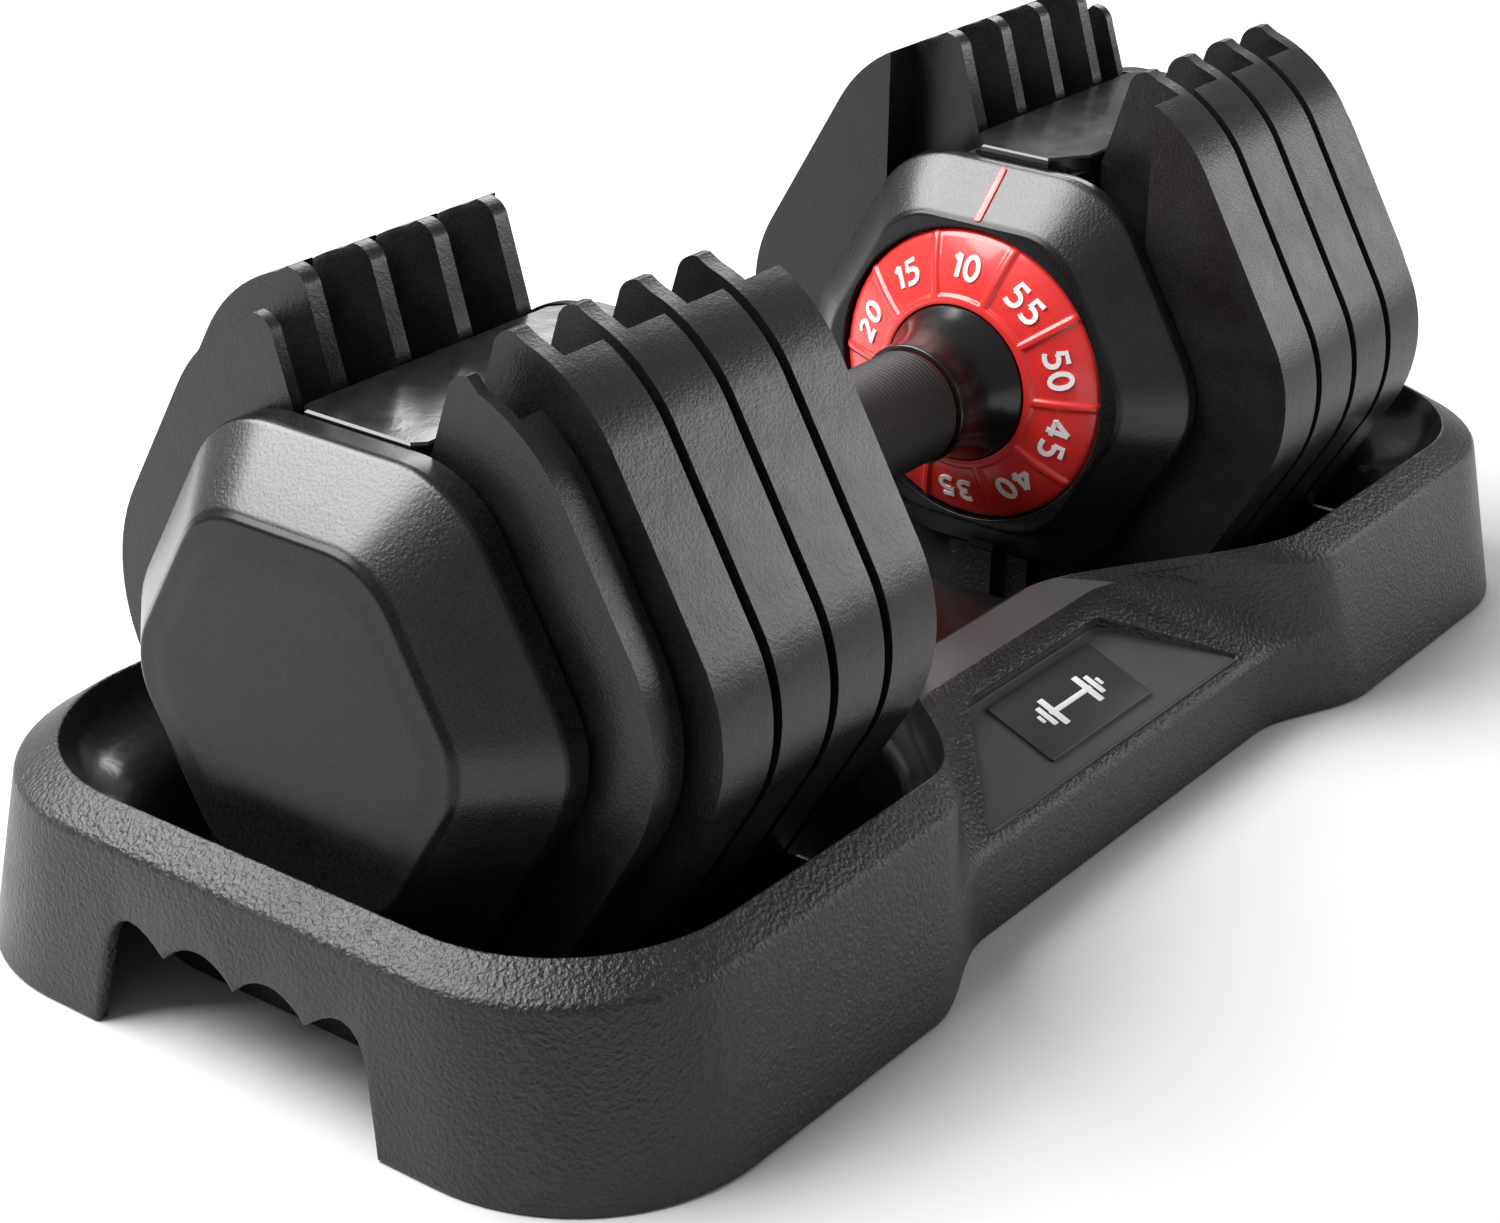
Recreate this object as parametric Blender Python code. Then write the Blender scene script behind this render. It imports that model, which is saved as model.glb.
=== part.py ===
"""Adjustable dumbbell in its storage tray.

X runs along the handle, Y across it and Z up. The origin is on the floor under the middle of the
handle. "far" pieces stand at +X and "near" pieces at -X. Profiles of the dumbbell are written
about its axis, which lies AXIS_HEIGHT above the floor. The dial is at its lightest setting.
"""
import math

import bmesh
import bpy
from mathutils import Matrix, Vector

MM = 0.001
SIDES = {"near": -1, "far": 1}

# Gaps between pieces
SEAT_GAP = 0.3 * MM          # faces that rest on each other
RUNNING_GAP = 0.6 * MM       # pieces that turn or slide past each other

# Weight plates: hexagons with well rounded corners, open at the top
LARGE_PLATES = 4
LARGE_APOTHEM = 79.5 * MM
LARGE_CORNER = 40.0 * MM
LARGE_THICK = 17.0 * MM
SMALL_APOTHEM = 73.0 * MM
SMALL_CORNER = 44.0 * MM
SMALL_THICK = 9.6 * MM
PLATE_GAP = 3.0 * MM
SMALL_PLATE_GAP = 2.5 * MM
PLATE_RISE = 3.0 * MM        # centre of a plate above the axis
WEB_THICK = 4.6 * MM         # outer wall of a large plate where the slot cuts it
SMALL_WEB_THICK = 3.0 * MM
POCKET_HALF = 41.0 * MM      # the thick part of a plate stops this far from the middle
POCKET_FLOOR = 27.5 * MM
SLOT_FLARE = 0.25            # widening of the slot above the lid, per unit of height
SLOT_TIP_R = 5.5 * MM
FIRST_PLATE_X = 80.5 * MM    # inner face of the innermost plate
PLATE_PITCH = LARGE_THICK + PLATE_GAP
SMALL_PLATE_X = FIRST_PLATE_X + LARGE_PLATES * PLATE_PITCH - PLATE_GAP + SMALL_PLATE_GAP
PLATES_END_X = SMALL_PLATE_X + SMALL_THICK

# Tray floor and the height of the dumbbell that stands in it
FLOOR_TOP = 3.2 * MM
FLOOR_THICK = 2.4 * MM
AXIS_HEIGHT = FLOOR_TOP + SEAT_GAP + LARGE_APOTHEM - PLATE_RISE

# Core: the box that hangs in the slots of the plates
CORE_HALF = 17.0 * MM
CORE_WALL = 2.5 * MM
CORE_TOP = 54.0 * MM
CORE_DEPTH = 24.0 * MM
SLOT_CLEARANCE = 2.3 * MM
SLOT_HALF = CORE_HALF + SLOT_CLEARANCE
SLOT_FLOOR = CORE_DEPTH + 2.0 * MM
LID_THICK = 3.9 * MM
LID_OVERHANG = 0.5 * MM
LID_CHAMFER = 2.5 * MM      # corners at the cap
LID_LEAD = 10.0 * MM        # long corners at the housing
LID_LEAD_ACROSS = 7.0 * MM

# Inner housings and outer caps: flared hexagonal shells
CAP_FACE_APOTHEM = 41.2 * MM
FACE_APOTHEM = 42.3 * MM
FACE_CORNER = 19.0 * MM
BASE_APOTHEM = 57.3 * MM
BASE_CORNER = 26.5 * MM
HOUSING_APOTHEM = 55.6 * MM
SHELL_WALL = 2.6 * MM
CAP_RIM = 7.2 * MM
CAP_FLANK = 16.6 * MM
HOUSING_RIM = 3.4 * MM
HOUSING_FLANK = 14.0 * MM
HOUSING_BACK_X = FIRST_PLATE_X - 0.7 * MM
HOUSING_FACE_X = HOUSING_BACK_X - HOUSING_RIM - HOUSING_FLANK
CAP_BACK_X = PLATES_END_X + 1.6 * MM
CAP_FACE_X = CAP_BACK_X + CAP_RIM + CAP_FLANK
FLANGE_THICK = 2.6 * MM
INDICATOR_WIDTH = 2.2 * MM
INDICATOR_PROUD = 0.5 * MM

# Dial, hub and grip, which turn together
SETTINGS = 10
SETTING_ANGLE = math.radians(36)
DIAL_R = 40.5 * MM
DIAL_INNER_R = 21.9 * MM
DIAL_THICK = 4.8 * MM
DIAL_RISE = 7.6 * MM         # the numbered face is a shallow cone, proud at the hub
DIAL_COLLAR = 1.7 * MM
DIAL_PANEL_SINK = 0.8 * MM
DIAL_EDGE = 0.8 * MM
WEB_BEHIND_DIAL = 0.9 * MM
HUB_R = 21.5 * MM
HUB_NOSE_R = 16.4 * MM
HUB_NOSE_X = 34.4 * MM
HUB_FLARE = [(0.3, 0.04), (0.55, 0.2), (0.78, 0.52), (0.93, 0.84)]  # shares of its length and radius
HUB_NECK_R = 12.4 * MM
GRIP_R = 15.5 * MM
GRIP_TUBE_R = 12.5 * MM
AXLE_R = 5.6 * MM
AXLE_GAP = RUNNING_GAP
SHAFT_R = 8.0 * MM
NUT_APOTHEM = 8.3 * MM
NUT_THICK = 7.0 * MM

# Selector: one disc for each plate, whose broken rim turns under the plate's lug
DISC_HUB_R = 12.0 * MM
DISC_WEB = 2.2 * MM
RIM_INNER_R = 20.0 * MM
RIM_OUTER_R = 23.4 * MM
RIM_REACH = 4.0 * MM
LUG_HALF = 5.0 * MM
LUG_TOP = 15.0 * MM
LUG_BOTTOM = 18.7 * MM
LUG_REACH = 4.2 * MM
RIM_FROM_WEB = 0.8 * MM
WINDOW_MARGIN = 0.8 * MM

# Wheels behind the dials: one is locked when the dumbbell leaves the tray, one clicks
WHEEL_R = 22.0 * MM
WHEEL_THICK = 3.0 * MM
NOTCH_DEPTH = 3.5 * MM
NOTCH_HALF = 2.6 * MM
TOOTH_HALF = 1.5 * MM
LOCK_TRAVEL = 3.2 * MM
DETENT_TRAVEL = 2.4 * MM
TOOTH_GAP = 0.8 * MM         # between a tooth that is out and the wheel
SLIDER_THICK = 2.2 * MM
SLIDER_BAR = 4.0 * MM
STEM_HALF = 4.0 * MM
PLUNGER_R = 1.7 * MM
SPRING_R = 2.0 * MM
WHEEL_GAP = 1.6 * MM         # from the housing's web to a wheel
SPRING_WIRE_R = 0.45 * MM
SPRING_TURNS = 4

# Tray: an open shell with two wells joined by a narrower waist
RIM_HEIGHT = 51.0 * MM
RIDGE_DROP = 6.0 * MM
END_CLEARANCE = 10.6 * MM    # from the cap to the inner edge of the rim
SIDE_CLEARANCE = 16.8 * MM   # from a large plate to the inner edge of the rim
RIM_BAND_X = 8.9 * MM
RIM_BAND_Y = 7.8 * MM
FLARE_X = 3.3 * MM
FLARE_Y = 7.6 * MM
WELL_CORNER = 44.0 * MM
SADDLE_HEIGHT = 29.5 * MM    # floor of the waist, below the grip
WAIST_RIM_HEIGHT = 44.0 * MM
WAIST_RIM_HALF = 44.5 * MM
WAIST_RIDGE_HEIGHT = 41.4 * MM
WAIST_RIDGE_HALF = 58.3 * MM
WAIST_SHOULDER_HEIGHT = 22.7 * MM
WAIST_SHOULDER_HALF = 92.3 * MM
WAIST_FOOT_HALF = 93.5 * MM
TRAY_WALL = 3.0 * MM
SLOPE_WALL = 7.4 * MM
SKIRT_LIFT = 0.4 * MM        # the feet hold the skirt clear of the floor
CUTOUT_HALF = 43.0 * MM
CUTOUT_CUSP = 23.5 * MM
SCALLOP_PITCH = 21.0 * MM
SCALLOP_RISE = 5.2 * MM
CUTOUT_SHOULDERS = [(25.0, 27.0), (31.0, 28.7), (35.6, 26.6), (38.2, 22.5), (39.4, 15.0)]
PANEL_TOP_HALF = 30.5 * MM
PANEL_BOTTOM_HALF = 60.0 * MM
PANEL_MARGIN_TOP = 5.5 * MM
PANEL_MARGIN_BOTTOM = 3.0 * MM
PANEL_DEPTH_TOP = 4.6 * MM   # the panel leans back, so that it is deepest at its upper edge
PANEL_DEPTH_BOTTOM = 1.0 * MM
LABEL_HALF = 23.5 * MM
LABEL_HEIGHT = 21.0 * MM
LABEL_THICK = 1.0 * MM
LABEL_SHIFT = 1.5 * MM       # label's middle above the panel's middle, along the slope
FOOT_R = 7.0 * MM
FOOT_X = 150.0 * MM
FOOT_Y = 58.0 * MM

# Rack of fins that keeps the plates apart in the tray
RAIL_INNER = 52.0 * MM
RAIL_OUTER = 64.0 * MM
RAIL_HEIGHT = 4.0 * MM
FIN_THICK = 1.8 * MM
FIN_HEIGHT = 22.0 * MM
FIN_INNER = 46.0 * MM
FIN_TOP_INNER = 54.0 * MM
FIN_TOP_OUTER = 68.0 * MM
FIN_FOOT_HEIGHT = 9.0 * MM
CRADLE_HALF = 14.0 * MM

ROUND = 24                   # sides of a turned piece
CORNER_STEPS = 5


def make_material(name, color, roughness, metallic):
    made = bpy.data.materials.new(name)
    made.use_nodes = True
    shader = made.node_tree.nodes["Principled BSDF"]
    shader.inputs["Base Color"].default_value = (*color, 1.0)
    shader.inputs["Roughness"].default_value = roughness
    shader.inputs["Metallic"].default_value = metallic
    made.diffuse_color = (*color, 1.0)
    return made


def arc(centre, radius, start, end, steps):
    """Points of an arc in the YZ plane, angles in radians from +Y towards +Z."""
    turns = [start + (end - start) * step / steps for step in range(steps + 1)]
    return [(centre[0] + radius * math.cos(t), centre[1] + radius * math.sin(t)) for t in turns]


def hexagon(apothem, corner, rise=0.0, flat_steps=1):
    """Rounded hexagon with flat top and bottom, starting at its +Y corner."""
    reach = (apothem - corner) / math.cos(math.radians(30))
    points = []
    for side in range(6):
        middle = math.radians(60 * side)
        centre = (reach * math.cos(middle), rise + reach * math.sin(middle))
        start = arc(centre, corner, middle - math.radians(30), middle + math.radians(30), CORNER_STEPS)
        if points:
            points += between(points[-1], start[0], flat_steps)
        points += start
    return points + between(points[-1], points[0], flat_steps)


def between(first, last, steps):
    """Points that divide a straight line into equal steps, without its ends."""
    return [(first[0] + (last[0] - first[0]) * step / steps, first[1] + (last[1] - first[1]) * step / steps)
            for step in range(1, steps)]


def circle(radius, sides=ROUND):
    return arc((0.0, 0.0), radius, 0.0, math.tau * (1 - 1 / sides), sides - 1)


def rounded_to(outline, radius):
    """A circle with the same number of points as an outline, at the same angles."""
    return [(radius * y / math.hypot(y, z), radius * z / math.hypot(y, z)) for y, z in outline]


def rectangle(y_low, y_high, z_low, z_high):
    return [(y_low, z_low), (y_high, z_low), (y_high, z_high), (y_low, z_high)]


def place(outline, x, height=AXIS_HEIGHT):
    return [Vector((x, y, z + height)) for y, z in outline]


def skin(loops, ring=False, paired_ends=False):
    """Mesh through a row of loops, closed by its ends or by joining the last loop to the first.

    A flat end is one face. A paired end may bend along X: its loop is symmetric about y = 0 and
    the end is made of strips across it.
    """
    mesh = bpy.data.meshes.new("skin")
    shape = bmesh.new()
    rows = [[shape.verts.new(point) for point in loop] for loop in loops]
    following = rows[1:] + ([rows[0]] if ring else [])
    for row, next_row in zip(rows, following):
        for index in range(len(row)):
            after = (index + 1) % len(row)
            shape.faces.new((row[index], row[after], next_row[after], next_row[index]))
    for end in () if ring else (rows[0], rows[-1]):
        if paired_ends:
            strips_across(shape, end)
        else:
            shape.faces.new(end)
    bmesh.ops.recalc_face_normals(shape, faces=shape.faces)
    shape.to_mesh(mesh)
    shape.free()
    return mesh


def strips_across(shape, loop):
    """Close a loop that starts at its +Y point at x = 0 and is symmetric about y = 0."""
    half = len(loop) // 2
    far = loop[:half + 1]
    near = [loop[0]] + loop[:half - 1:-1]
    for run in (far, near):
        for first in range(len(run) // 2 - 1):
            last = len(run) - 1 - first
            shape.faces.new((run[first], run[first + 1], run[last - 1], run[last]))


def prism(outline, x_low, x_high, height=AXIS_HEIGHT):
    return skin([place(outline, x_low, height), place(outline, x_high, height)])


def block(x_low, x_high, y_low, y_high, z_low, z_high):
    """Box in world heights."""
    return prism(rectangle(y_low, y_high, z_low, z_high), x_low, x_high, 0.0)


def turned(profile, ring=True, sides=ROUND):
    """Body of revolution about the handle's axis from (x, radius) pairs."""
    return skin([place(circle(radius, sides), x) for x, radius in profile], ring)


def tube(x_low, x_high, outer, inner, sides=ROUND):
    return turned([(x_low, inner), (x_low, outer), (x_high, outer), (x_high, inner)], True, sides)


def upright(outline, x, z_low, z_high):
    """Prism along Z from an outline of (x offset, y) pairs."""
    rows = [[Vector((x + across, y, z)) for across, y in outline] for z in (z_low, z_high)]
    return skin(rows)


def boolean(mesh, tools, operation):
    """The mesh after each tool mesh has cut it or joined it."""
    for tool in tools:
        body = bpy.data.objects.new("boolean_body", mesh)
        cutter = bpy.data.objects.new("boolean_tool", tool)
        for item in (body, cutter):
            bpy.context.scene.collection.objects.link(item)
        modifier = body.modifiers.new("boolean", "BOOLEAN")
        modifier.operation = operation
        modifier.solver = "EXACT"
        modifier.object = cutter
        bpy.context.view_layer.update()
        graph = bpy.context.evaluated_depsgraph_get()
        mesh = bpy.data.meshes.new_from_object(body.evaluated_get(graph))
        for item in (body, cutter):
            bpy.data.objects.remove(item)
    return mesh


def cut(mesh, *tools):
    return boolean(mesh, tools, "DIFFERENCE")


def join(mesh, *tools):
    return boolean(mesh, tools, "UNION")


def mirrored(mesh, side):
    """The mesh itself at +X, or its mirror image at -X."""
    if side > 0:
        return mesh
    copy = mesh.copy()
    copy.transform(Matrix.Diagonal((-1.0, 1.0, 1.0, 1.0)))
    copy.flip_normals()
    return copy


def moved(mesh, offset_x):
    copy = mesh.copy()
    copy.transform(Matrix.Translation((offset_x, 0.0, 0.0)))
    return copy


def body(name, location):
    """Empty on a joint's axis, which carries the pieces that move together."""
    empty = bpy.data.objects.new(name, None)
    empty.location = location
    bpy.context.scene.collection.objects.link(empty)
    return empty


def piece(name, mesh, material, carrier, side=1):
    mesh = mirrored(mesh, side)
    mesh.name = name
    mesh.materials.clear()
    mesh.materials.append(material)
    mesh.shade_smooth()
    mesh.set_sharp_from_angle(angle=math.radians(35))
    made = bpy.data.objects.new(name, mesh)
    bpy.context.scene.collection.objects.link(made)
    made.parent = carrier
    made.matrix_parent_inverse = Matrix.Translation(carrier.location).inverted()
    return made


# ---------------------------------------------------------------- plates

def plate_mesh(apothem, corner, thick, web):
    """A plate whose inner face is at x = 0, with its web on the outer side."""
    top = apothem + PLATE_RISE
    flare_start = CORE_TOP + 2 * MM
    tip_half = SLOT_HALF + (top - flare_start) * SLOT_FLARE
    tip = [(tip_half + SLOT_TIP_R, top), (tip_half + 0.3 * SLOT_TIP_R, top - 0.3 * SLOT_TIP_R),
           (tip_half - 0.2 * SLOT_TIP_R, top - SLOT_TIP_R)]
    slot_corner = 7.0 * MM
    centre = (SLOT_HALF - slot_corner, slot_corner - SLOT_FLOOR)
    slot = tip + [(SLOT_HALF, flare_start)]
    slot += arc(centre, slot_corner, 0.0, -math.pi / 2, 3)
    slot += [(LUG_HALF, -SLOT_FLOOR), (LUG_HALF, -LUG_TOP)]
    outer = [point for point in hexagon(apothem, corner, PLATE_RISE)]
    right = [p for p in outer if p[0] > slot[0][0] + MM and p[1] > PLATE_RISE]
    lower = [p for p in outer if p[1] <= PLATE_RISE]
    right_low = sorted((p for p in lower if p[0] >= 0), key=lambda p: -p[1])
    half = right_low[::-1] + sorted(right, key=lambda p: p[1])
    half += slot
    outline = half + [(-y, z) for y, z in reversed(half)]
    solid = prism(outline, 0.0, thick)
    shoulder = 13.0 * MM
    pocket_low = RIM_OUTER_R + 4.6 * MM
    step = pocket_low + 0.4 * (POCKET_HALF - pocket_low)
    pocket_half = [(pocket_low - 6 * MM, -POCKET_FLOOR), (pocket_low, 6 * MM - POCKET_FLOOR),
                   (pocket_low, shoulder), (step, shoulder + 5 * MM),
                   (POCKET_HALF, shoulder + 14 * MM), (POCKET_HALF, top + 10 * MM)]
    pocket = pocket_half + [(-y, z) for y, z in reversed(pocket_half)]
    solid = cut(solid, prism(pocket, -10 * MM, thick - web))
    lug = prism(rectangle(-LUG_HALF + 0.1 * MM, LUG_HALF - 0.1 * MM, -LUG_BOTTOM, -LUG_TOP - 0.1 * MM),
                thick - web - LUG_REACH, thick - 0.5 * web)
    return join(solid, lug)


def plate_places():
    """Number, inner face, thickness and web of each plate on one side, from the handle outwards."""
    places = [(index + 1, FIRST_PLATE_X + index * PLATE_PITCH, LARGE_THICK, WEB_THICK)
              for index in range(LARGE_PLATES)]
    return places + [(LARGE_PLATES + 1, SMALL_PLATE_X, SMALL_THICK, SMALL_WEB_THICK)]


def is_held(number, setting):
    """Whether a plate's disc holds it at a setting: the small plate at every second one."""
    if number > LARGE_PLATES:
        return setting % 2 == 1
    return setting >= 2 * number


def add_plates(iron):
    large = plate_mesh(LARGE_APOTHEM, LARGE_CORNER, LARGE_THICK, WEB_THICK)
    small = plate_mesh(SMALL_APOTHEM, SMALL_CORNER, SMALL_THICK, SMALL_WEB_THICK)
    for side_name, side in SIDES.items():
        for number, x, thick, _web in plate_places():
            name = f"plate_{side_name}_{number}"
            carrier = body(f"{name}_slide", (side * (x + thick / 2), 0.0, AXIS_HEIGHT))
            source = large if number <= LARGE_PLATES else small
            piece(name, moved(source, x), iron, carrier, side)


# ---------------------------------------------------------------- selector

def disc_mesh(number, thick, web):
    """Selector disc in the same frame as its plate: rim sectors hold at their settings."""
    outer_face = thick - web - RIM_FROM_WEB
    web_out = outer_face - RIM_REACH
    web_in = web_out - DISC_WEB
    bore = SHAFT_R + SEAT_GAP
    profile = [(outer_face, bore), (web_in, bore), (web_in, RIM_OUTER_R), (web_out, RIM_OUTER_R),
               (outer_face, RIM_OUTER_R), (outer_face, RIM_INNER_R), (web_out, RIM_INNER_R),
               (web_out, DISC_HUB_R), (outer_face, DISC_HUB_R)]
    low, high = 3, 6             # where the rim starts and ends in the profile
    cells = 2 * SETTINGS
    mesh = bpy.data.meshes.new("disc")
    shape = bmesh.new()
    # the cell at the bottom after the dial has turned forward by a setting belongs to it
    held = [is_held(number, (cell + 1) // 2 % SETTINGS) for cell in range(cells)]
    spokes = []
    for cell in range(cells):
        turn = -math.pi / 2 - cell * SETTING_ANGLE / 2
        at_rim = held[cell] or held[cell - 1]
        spokes.append([shape.verts.new((x, r * math.cos(turn), AXIS_HEIGHT + r * math.sin(turn)))
                       if at_rim or not low < place_in < high else None
                       for place_in, (x, r) in enumerate(profile)])
    for cell in range(cells):
        this, following = spokes[cell], spokes[(cell + 1) % cells]
        path = [index for index in range(len(profile)) if held[cell] or not low < index < high]
        for first, second in zip(path, path[1:] + path[:1]):
            shape.faces.new((this[first], this[second], following[second], following[first]))
        if held[cell] != held[cell - 1]:
            shape.faces.new(this[low:high + 1])
    bmesh.ops.recalc_face_normals(shape, faces=shape.faces)
    shape.to_mesh(mesh)
    shape.free()
    return mesh


def add_selectors(rotor, zinc, steel):
    shaft_start = HOUSING_FACE_X - 3.6 * MM
    for side_name, side in SIDES.items():
        shaft = tube(shaft_start, PLATES_END_X - 1.5 * MM, SHAFT_R, AXLE_R + AXLE_GAP, 20)
        piece(f"selector_shaft_{side_name}", shaft, steel, rotor, side)
        for number, x, thick, web in plate_places():
            name = f"selector_disc_{side_name}_{number}"
            piece(name, moved(disc_mesh(number, thick, web), x), zinc, rotor, side)


# ---------------------------------------------------------------- grip, hubs and dials

def add_handle(rotor, steel, rubber, hub_black, red):
    front = HOUSING_FACE_X + 0.4 * MM
    hub_edge = front - DIAL_RISE
    tube_end = HOUSING_FACE_X - 4.2 * MM
    piece("grip_tube", tube(-tube_end, tube_end, GRIP_TUBE_R, AXLE_R + AXLE_GAP), steel, rotor)
    sleeve_end = HUB_NOSE_X - SEAT_GAP
    piece("grip_sleeve", tube(-sleeve_end, sleeve_end, GRIP_R, GRIP_TUBE_R + SEAT_GAP), rubber, rotor)
    wheel_x = wheel_start()
    tube_bore = GRIP_TUBE_R + SEAT_GAP
    shaft_bore = SHAFT_R + SEAT_GAP
    flare = [(HUB_NOSE_X + (hub_edge - HUB_NOSE_X) * along, HUB_NOSE_R + (HUB_R - HUB_NOSE_R) * out)
             for along, out in HUB_FLARE]
    hub = turned([
        (HUB_NOSE_X, tube_bore), (HUB_NOSE_X, HUB_NOSE_R), *flare, (hub_edge, HUB_R),
        (HOUSING_FACE_X + DIAL_THICK, HUB_R),
        (HOUSING_FACE_X + DIAL_THICK, HUB_NECK_R), (wheel_x - SEAT_GAP, HUB_NECK_R),
        (wheel_x - SEAT_GAP, shaft_bore), (tube_end + SEAT_GAP, shaft_bore),
        (tube_end + SEAT_GAP, tube_bore),
    ])
    back = front + DIAL_THICK
    collar_r = DIAL_INNER_R + DIAL_COLLAR
    collar = hub_edge + DIAL_RISE * DIAL_COLLAR / (DIAL_R - DIAL_INNER_R)
    dial = turned([
        (back, DIAL_INNER_R), (hub_edge, DIAL_INNER_R), (collar, collar_r),
        (collar + DIAL_PANEL_SINK, collar_r), (front - 0.2 * MM, DIAL_R - DIAL_EDGE),
        (front + DIAL_EDGE, DIAL_R), (back, DIAL_R),
    ])
    for side_name, side in SIDES.items():
        piece(f"hub_{side_name}", hub.copy(), hub_black, rotor, side)
        piece(f"dial_{side_name}", dial.copy(), red, rotor, side)


def wheel_start():
    """Inner face of the notched wheels, behind the web of the housing."""
    return HOUSING_FACE_X + DIAL_THICK + WEB_BEHIND_DIAL + SHELL_WALL + WHEEL_GAP


def wheel_mesh():
    """Notched wheel, with a notch at the top for each setting."""
    start = wheel_start()
    wheel = tube(start, start + WHEEL_THICK, WHEEL_R, SHAFT_R + SEAT_GAP, 40)
    notches = []
    for setting in range(SETTINGS):
        turn = math.pi / 2 + setting * SETTING_ANGLE
        depth_out, depth_in = WHEEL_R + 2 * MM, WHEEL_R - NOTCH_DEPTH
        corners = [(depth_out, -NOTCH_HALF), (depth_out, NOTCH_HALF), (depth_in, 0.75 * NOTCH_HALF),
                   (depth_in, -0.75 * NOTCH_HALF)]
        cosine, sine = math.cos(turn), math.sin(turn)
        outline = [(out * cosine - side * sine, out * sine + side * cosine) for out, side in corners]
        notches.append(prism(outline, start - MM, start + WHEEL_THICK + MM))
    return cut(wheel, *notches)


# ---------------------------------------------------------------- frame of the dumbbell

def housing_mesh():
    face, back = HOUSING_FACE_X, HOUSING_BACK_X
    flank_end = back - HOUSING_RIM
    web_front = face + DIAL_THICK + WEB_BEHIND_DIAL
    web_back = web_front + SHELL_WALL
    slope = (HOUSING_APOTHEM - FACE_APOTHEM) / HOUSING_FLANK
    inner_at_web = FACE_APOTHEM + (web_back - face) * slope - 1.4 * SHELL_WALL
    flat_steps = 4
    front_edge = hexagon(FACE_APOTHEM, FACE_CORNER, 0.0, flat_steps)
    outer_edge = hexagon(HOUSING_APOTHEM, BASE_CORNER, 0.0, flat_steps)
    inner_edge = hexagon(HOUSING_APOTHEM - SHELL_WALL, BASE_CORNER - SHELL_WALL, 0.0, flat_steps)
    web_edge = hexagon(inner_at_web, FACE_CORNER, 0.0, flat_steps)
    bore = rounded_to(front_edge, DIAL_R + 0.5 * MM)
    neck = rounded_to(front_edge, HUB_NECK_R + RUNNING_GAP)
    return skin([
        place(front_edge, face), place(outer_edge, flank_end), place(outer_edge, back),
        place(inner_edge, back), place(inner_edge, flank_end), place(web_edge, web_back),
        place(neck, web_back), place(neck, web_front), place(bore, web_front), place(bore, face),
    ], True)


def cap_mesh():
    face, back = CAP_FACE_X, CAP_BACK_X
    flank_end = back + CAP_RIM
    inner_edge = hexagon(BASE_APOTHEM - SHELL_WALL, BASE_CORNER - SHELL_WALL)
    inner_face = hexagon(CAP_FACE_APOTHEM - SHELL_WALL, FACE_CORNER - SHELL_WALL)
    return skin([
        place(inner_face, face - SHELL_WALL), place(inner_edge, flank_end), place(inner_edge, back),
        place(hexagon(BASE_APOTHEM, BASE_CORNER), back),
        place(hexagon(BASE_APOTHEM, BASE_CORNER), flank_end),
        place(hexagon(CAP_FACE_APOTHEM, FACE_CORNER), face),
    ])


def core_mesh():
    """Open-topped channel between two hexagonal flanges, with a window at every selector disc."""
    inner_flange_x = HOUSING_BACK_X - FLANGE_THICK - SEAT_GAP
    outer_flange_x = CAP_BACK_X + SEAT_GAP
    corner = 4.0 * MM
    outer = arc((CORE_HALF - corner, corner - CORE_DEPTH), corner, -math.pi / 2, 0, 2)
    outer += [(CORE_HALF, CORE_TOP)]
    inner_half = CORE_HALF - CORE_WALL
    inner = [(inner_half, CORE_TOP), (inner_half, CORE_WALL - CORE_DEPTH)]
    right = outer + inner
    outline = right + [(-y, z) for y, z in reversed(right)]
    channel = prism(outline, inner_flange_x + MM, outer_flange_x + FLANGE_THICK - MM)
    flange_gap = SHELL_WALL + SEAT_GAP
    inner_flange = prism(hexagon(HOUSING_APOTHEM - flange_gap, BASE_CORNER - flange_gap),
                         inner_flange_x, inner_flange_x + FLANGE_THICK)
    outer_flange = prism(hexagon(BASE_APOTHEM - flange_gap, BASE_CORNER - flange_gap),
                         outer_flange_x, outer_flange_x + FLANGE_THICK)
    windows = []
    reach = RIM_OUTER_R + 1.2 * MM
    window_top = math.sqrt(reach ** 2 - inner_half ** 2) + MM
    for _number, x, thick, web in plate_places():
        outer_face = x + thick + WINDOW_MARGIN
        inner_face = x + thick - web - RIM_FROM_WEB - RIM_REACH - DISC_WEB - WINDOW_MARGIN
        windows.append(prism(rectangle(-2 * CORE_HALF, 2 * CORE_HALF, -2 * CORE_DEPTH, window_top),
                             inner_face, outer_face))
    shaft_bore = prism(circle(SHAFT_R + RUNNING_GAP), inner_flange_x - MM, inner_flange_x + 2 * FLANGE_THICK)
    axle_bore = prism(circle(AXLE_R + SEAT_GAP), outer_flange_x - MM, outer_flange_x + 2 * FLANGE_THICK)
    notch = block(inner_flange_x - MM, HOUSING_BACK_X + SEAT_GAP, -2 * CORE_HALF, 2 * CORE_HALF,
                  AXIS_HEIGHT + HOUSING_APOTHEM - flange_gap, AXIS_HEIGHT + BASE_APOTHEM)
    return cut(join(channel, inner_flange, outer_flange), notch, shaft_bore, axle_bore, *windows)


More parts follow.
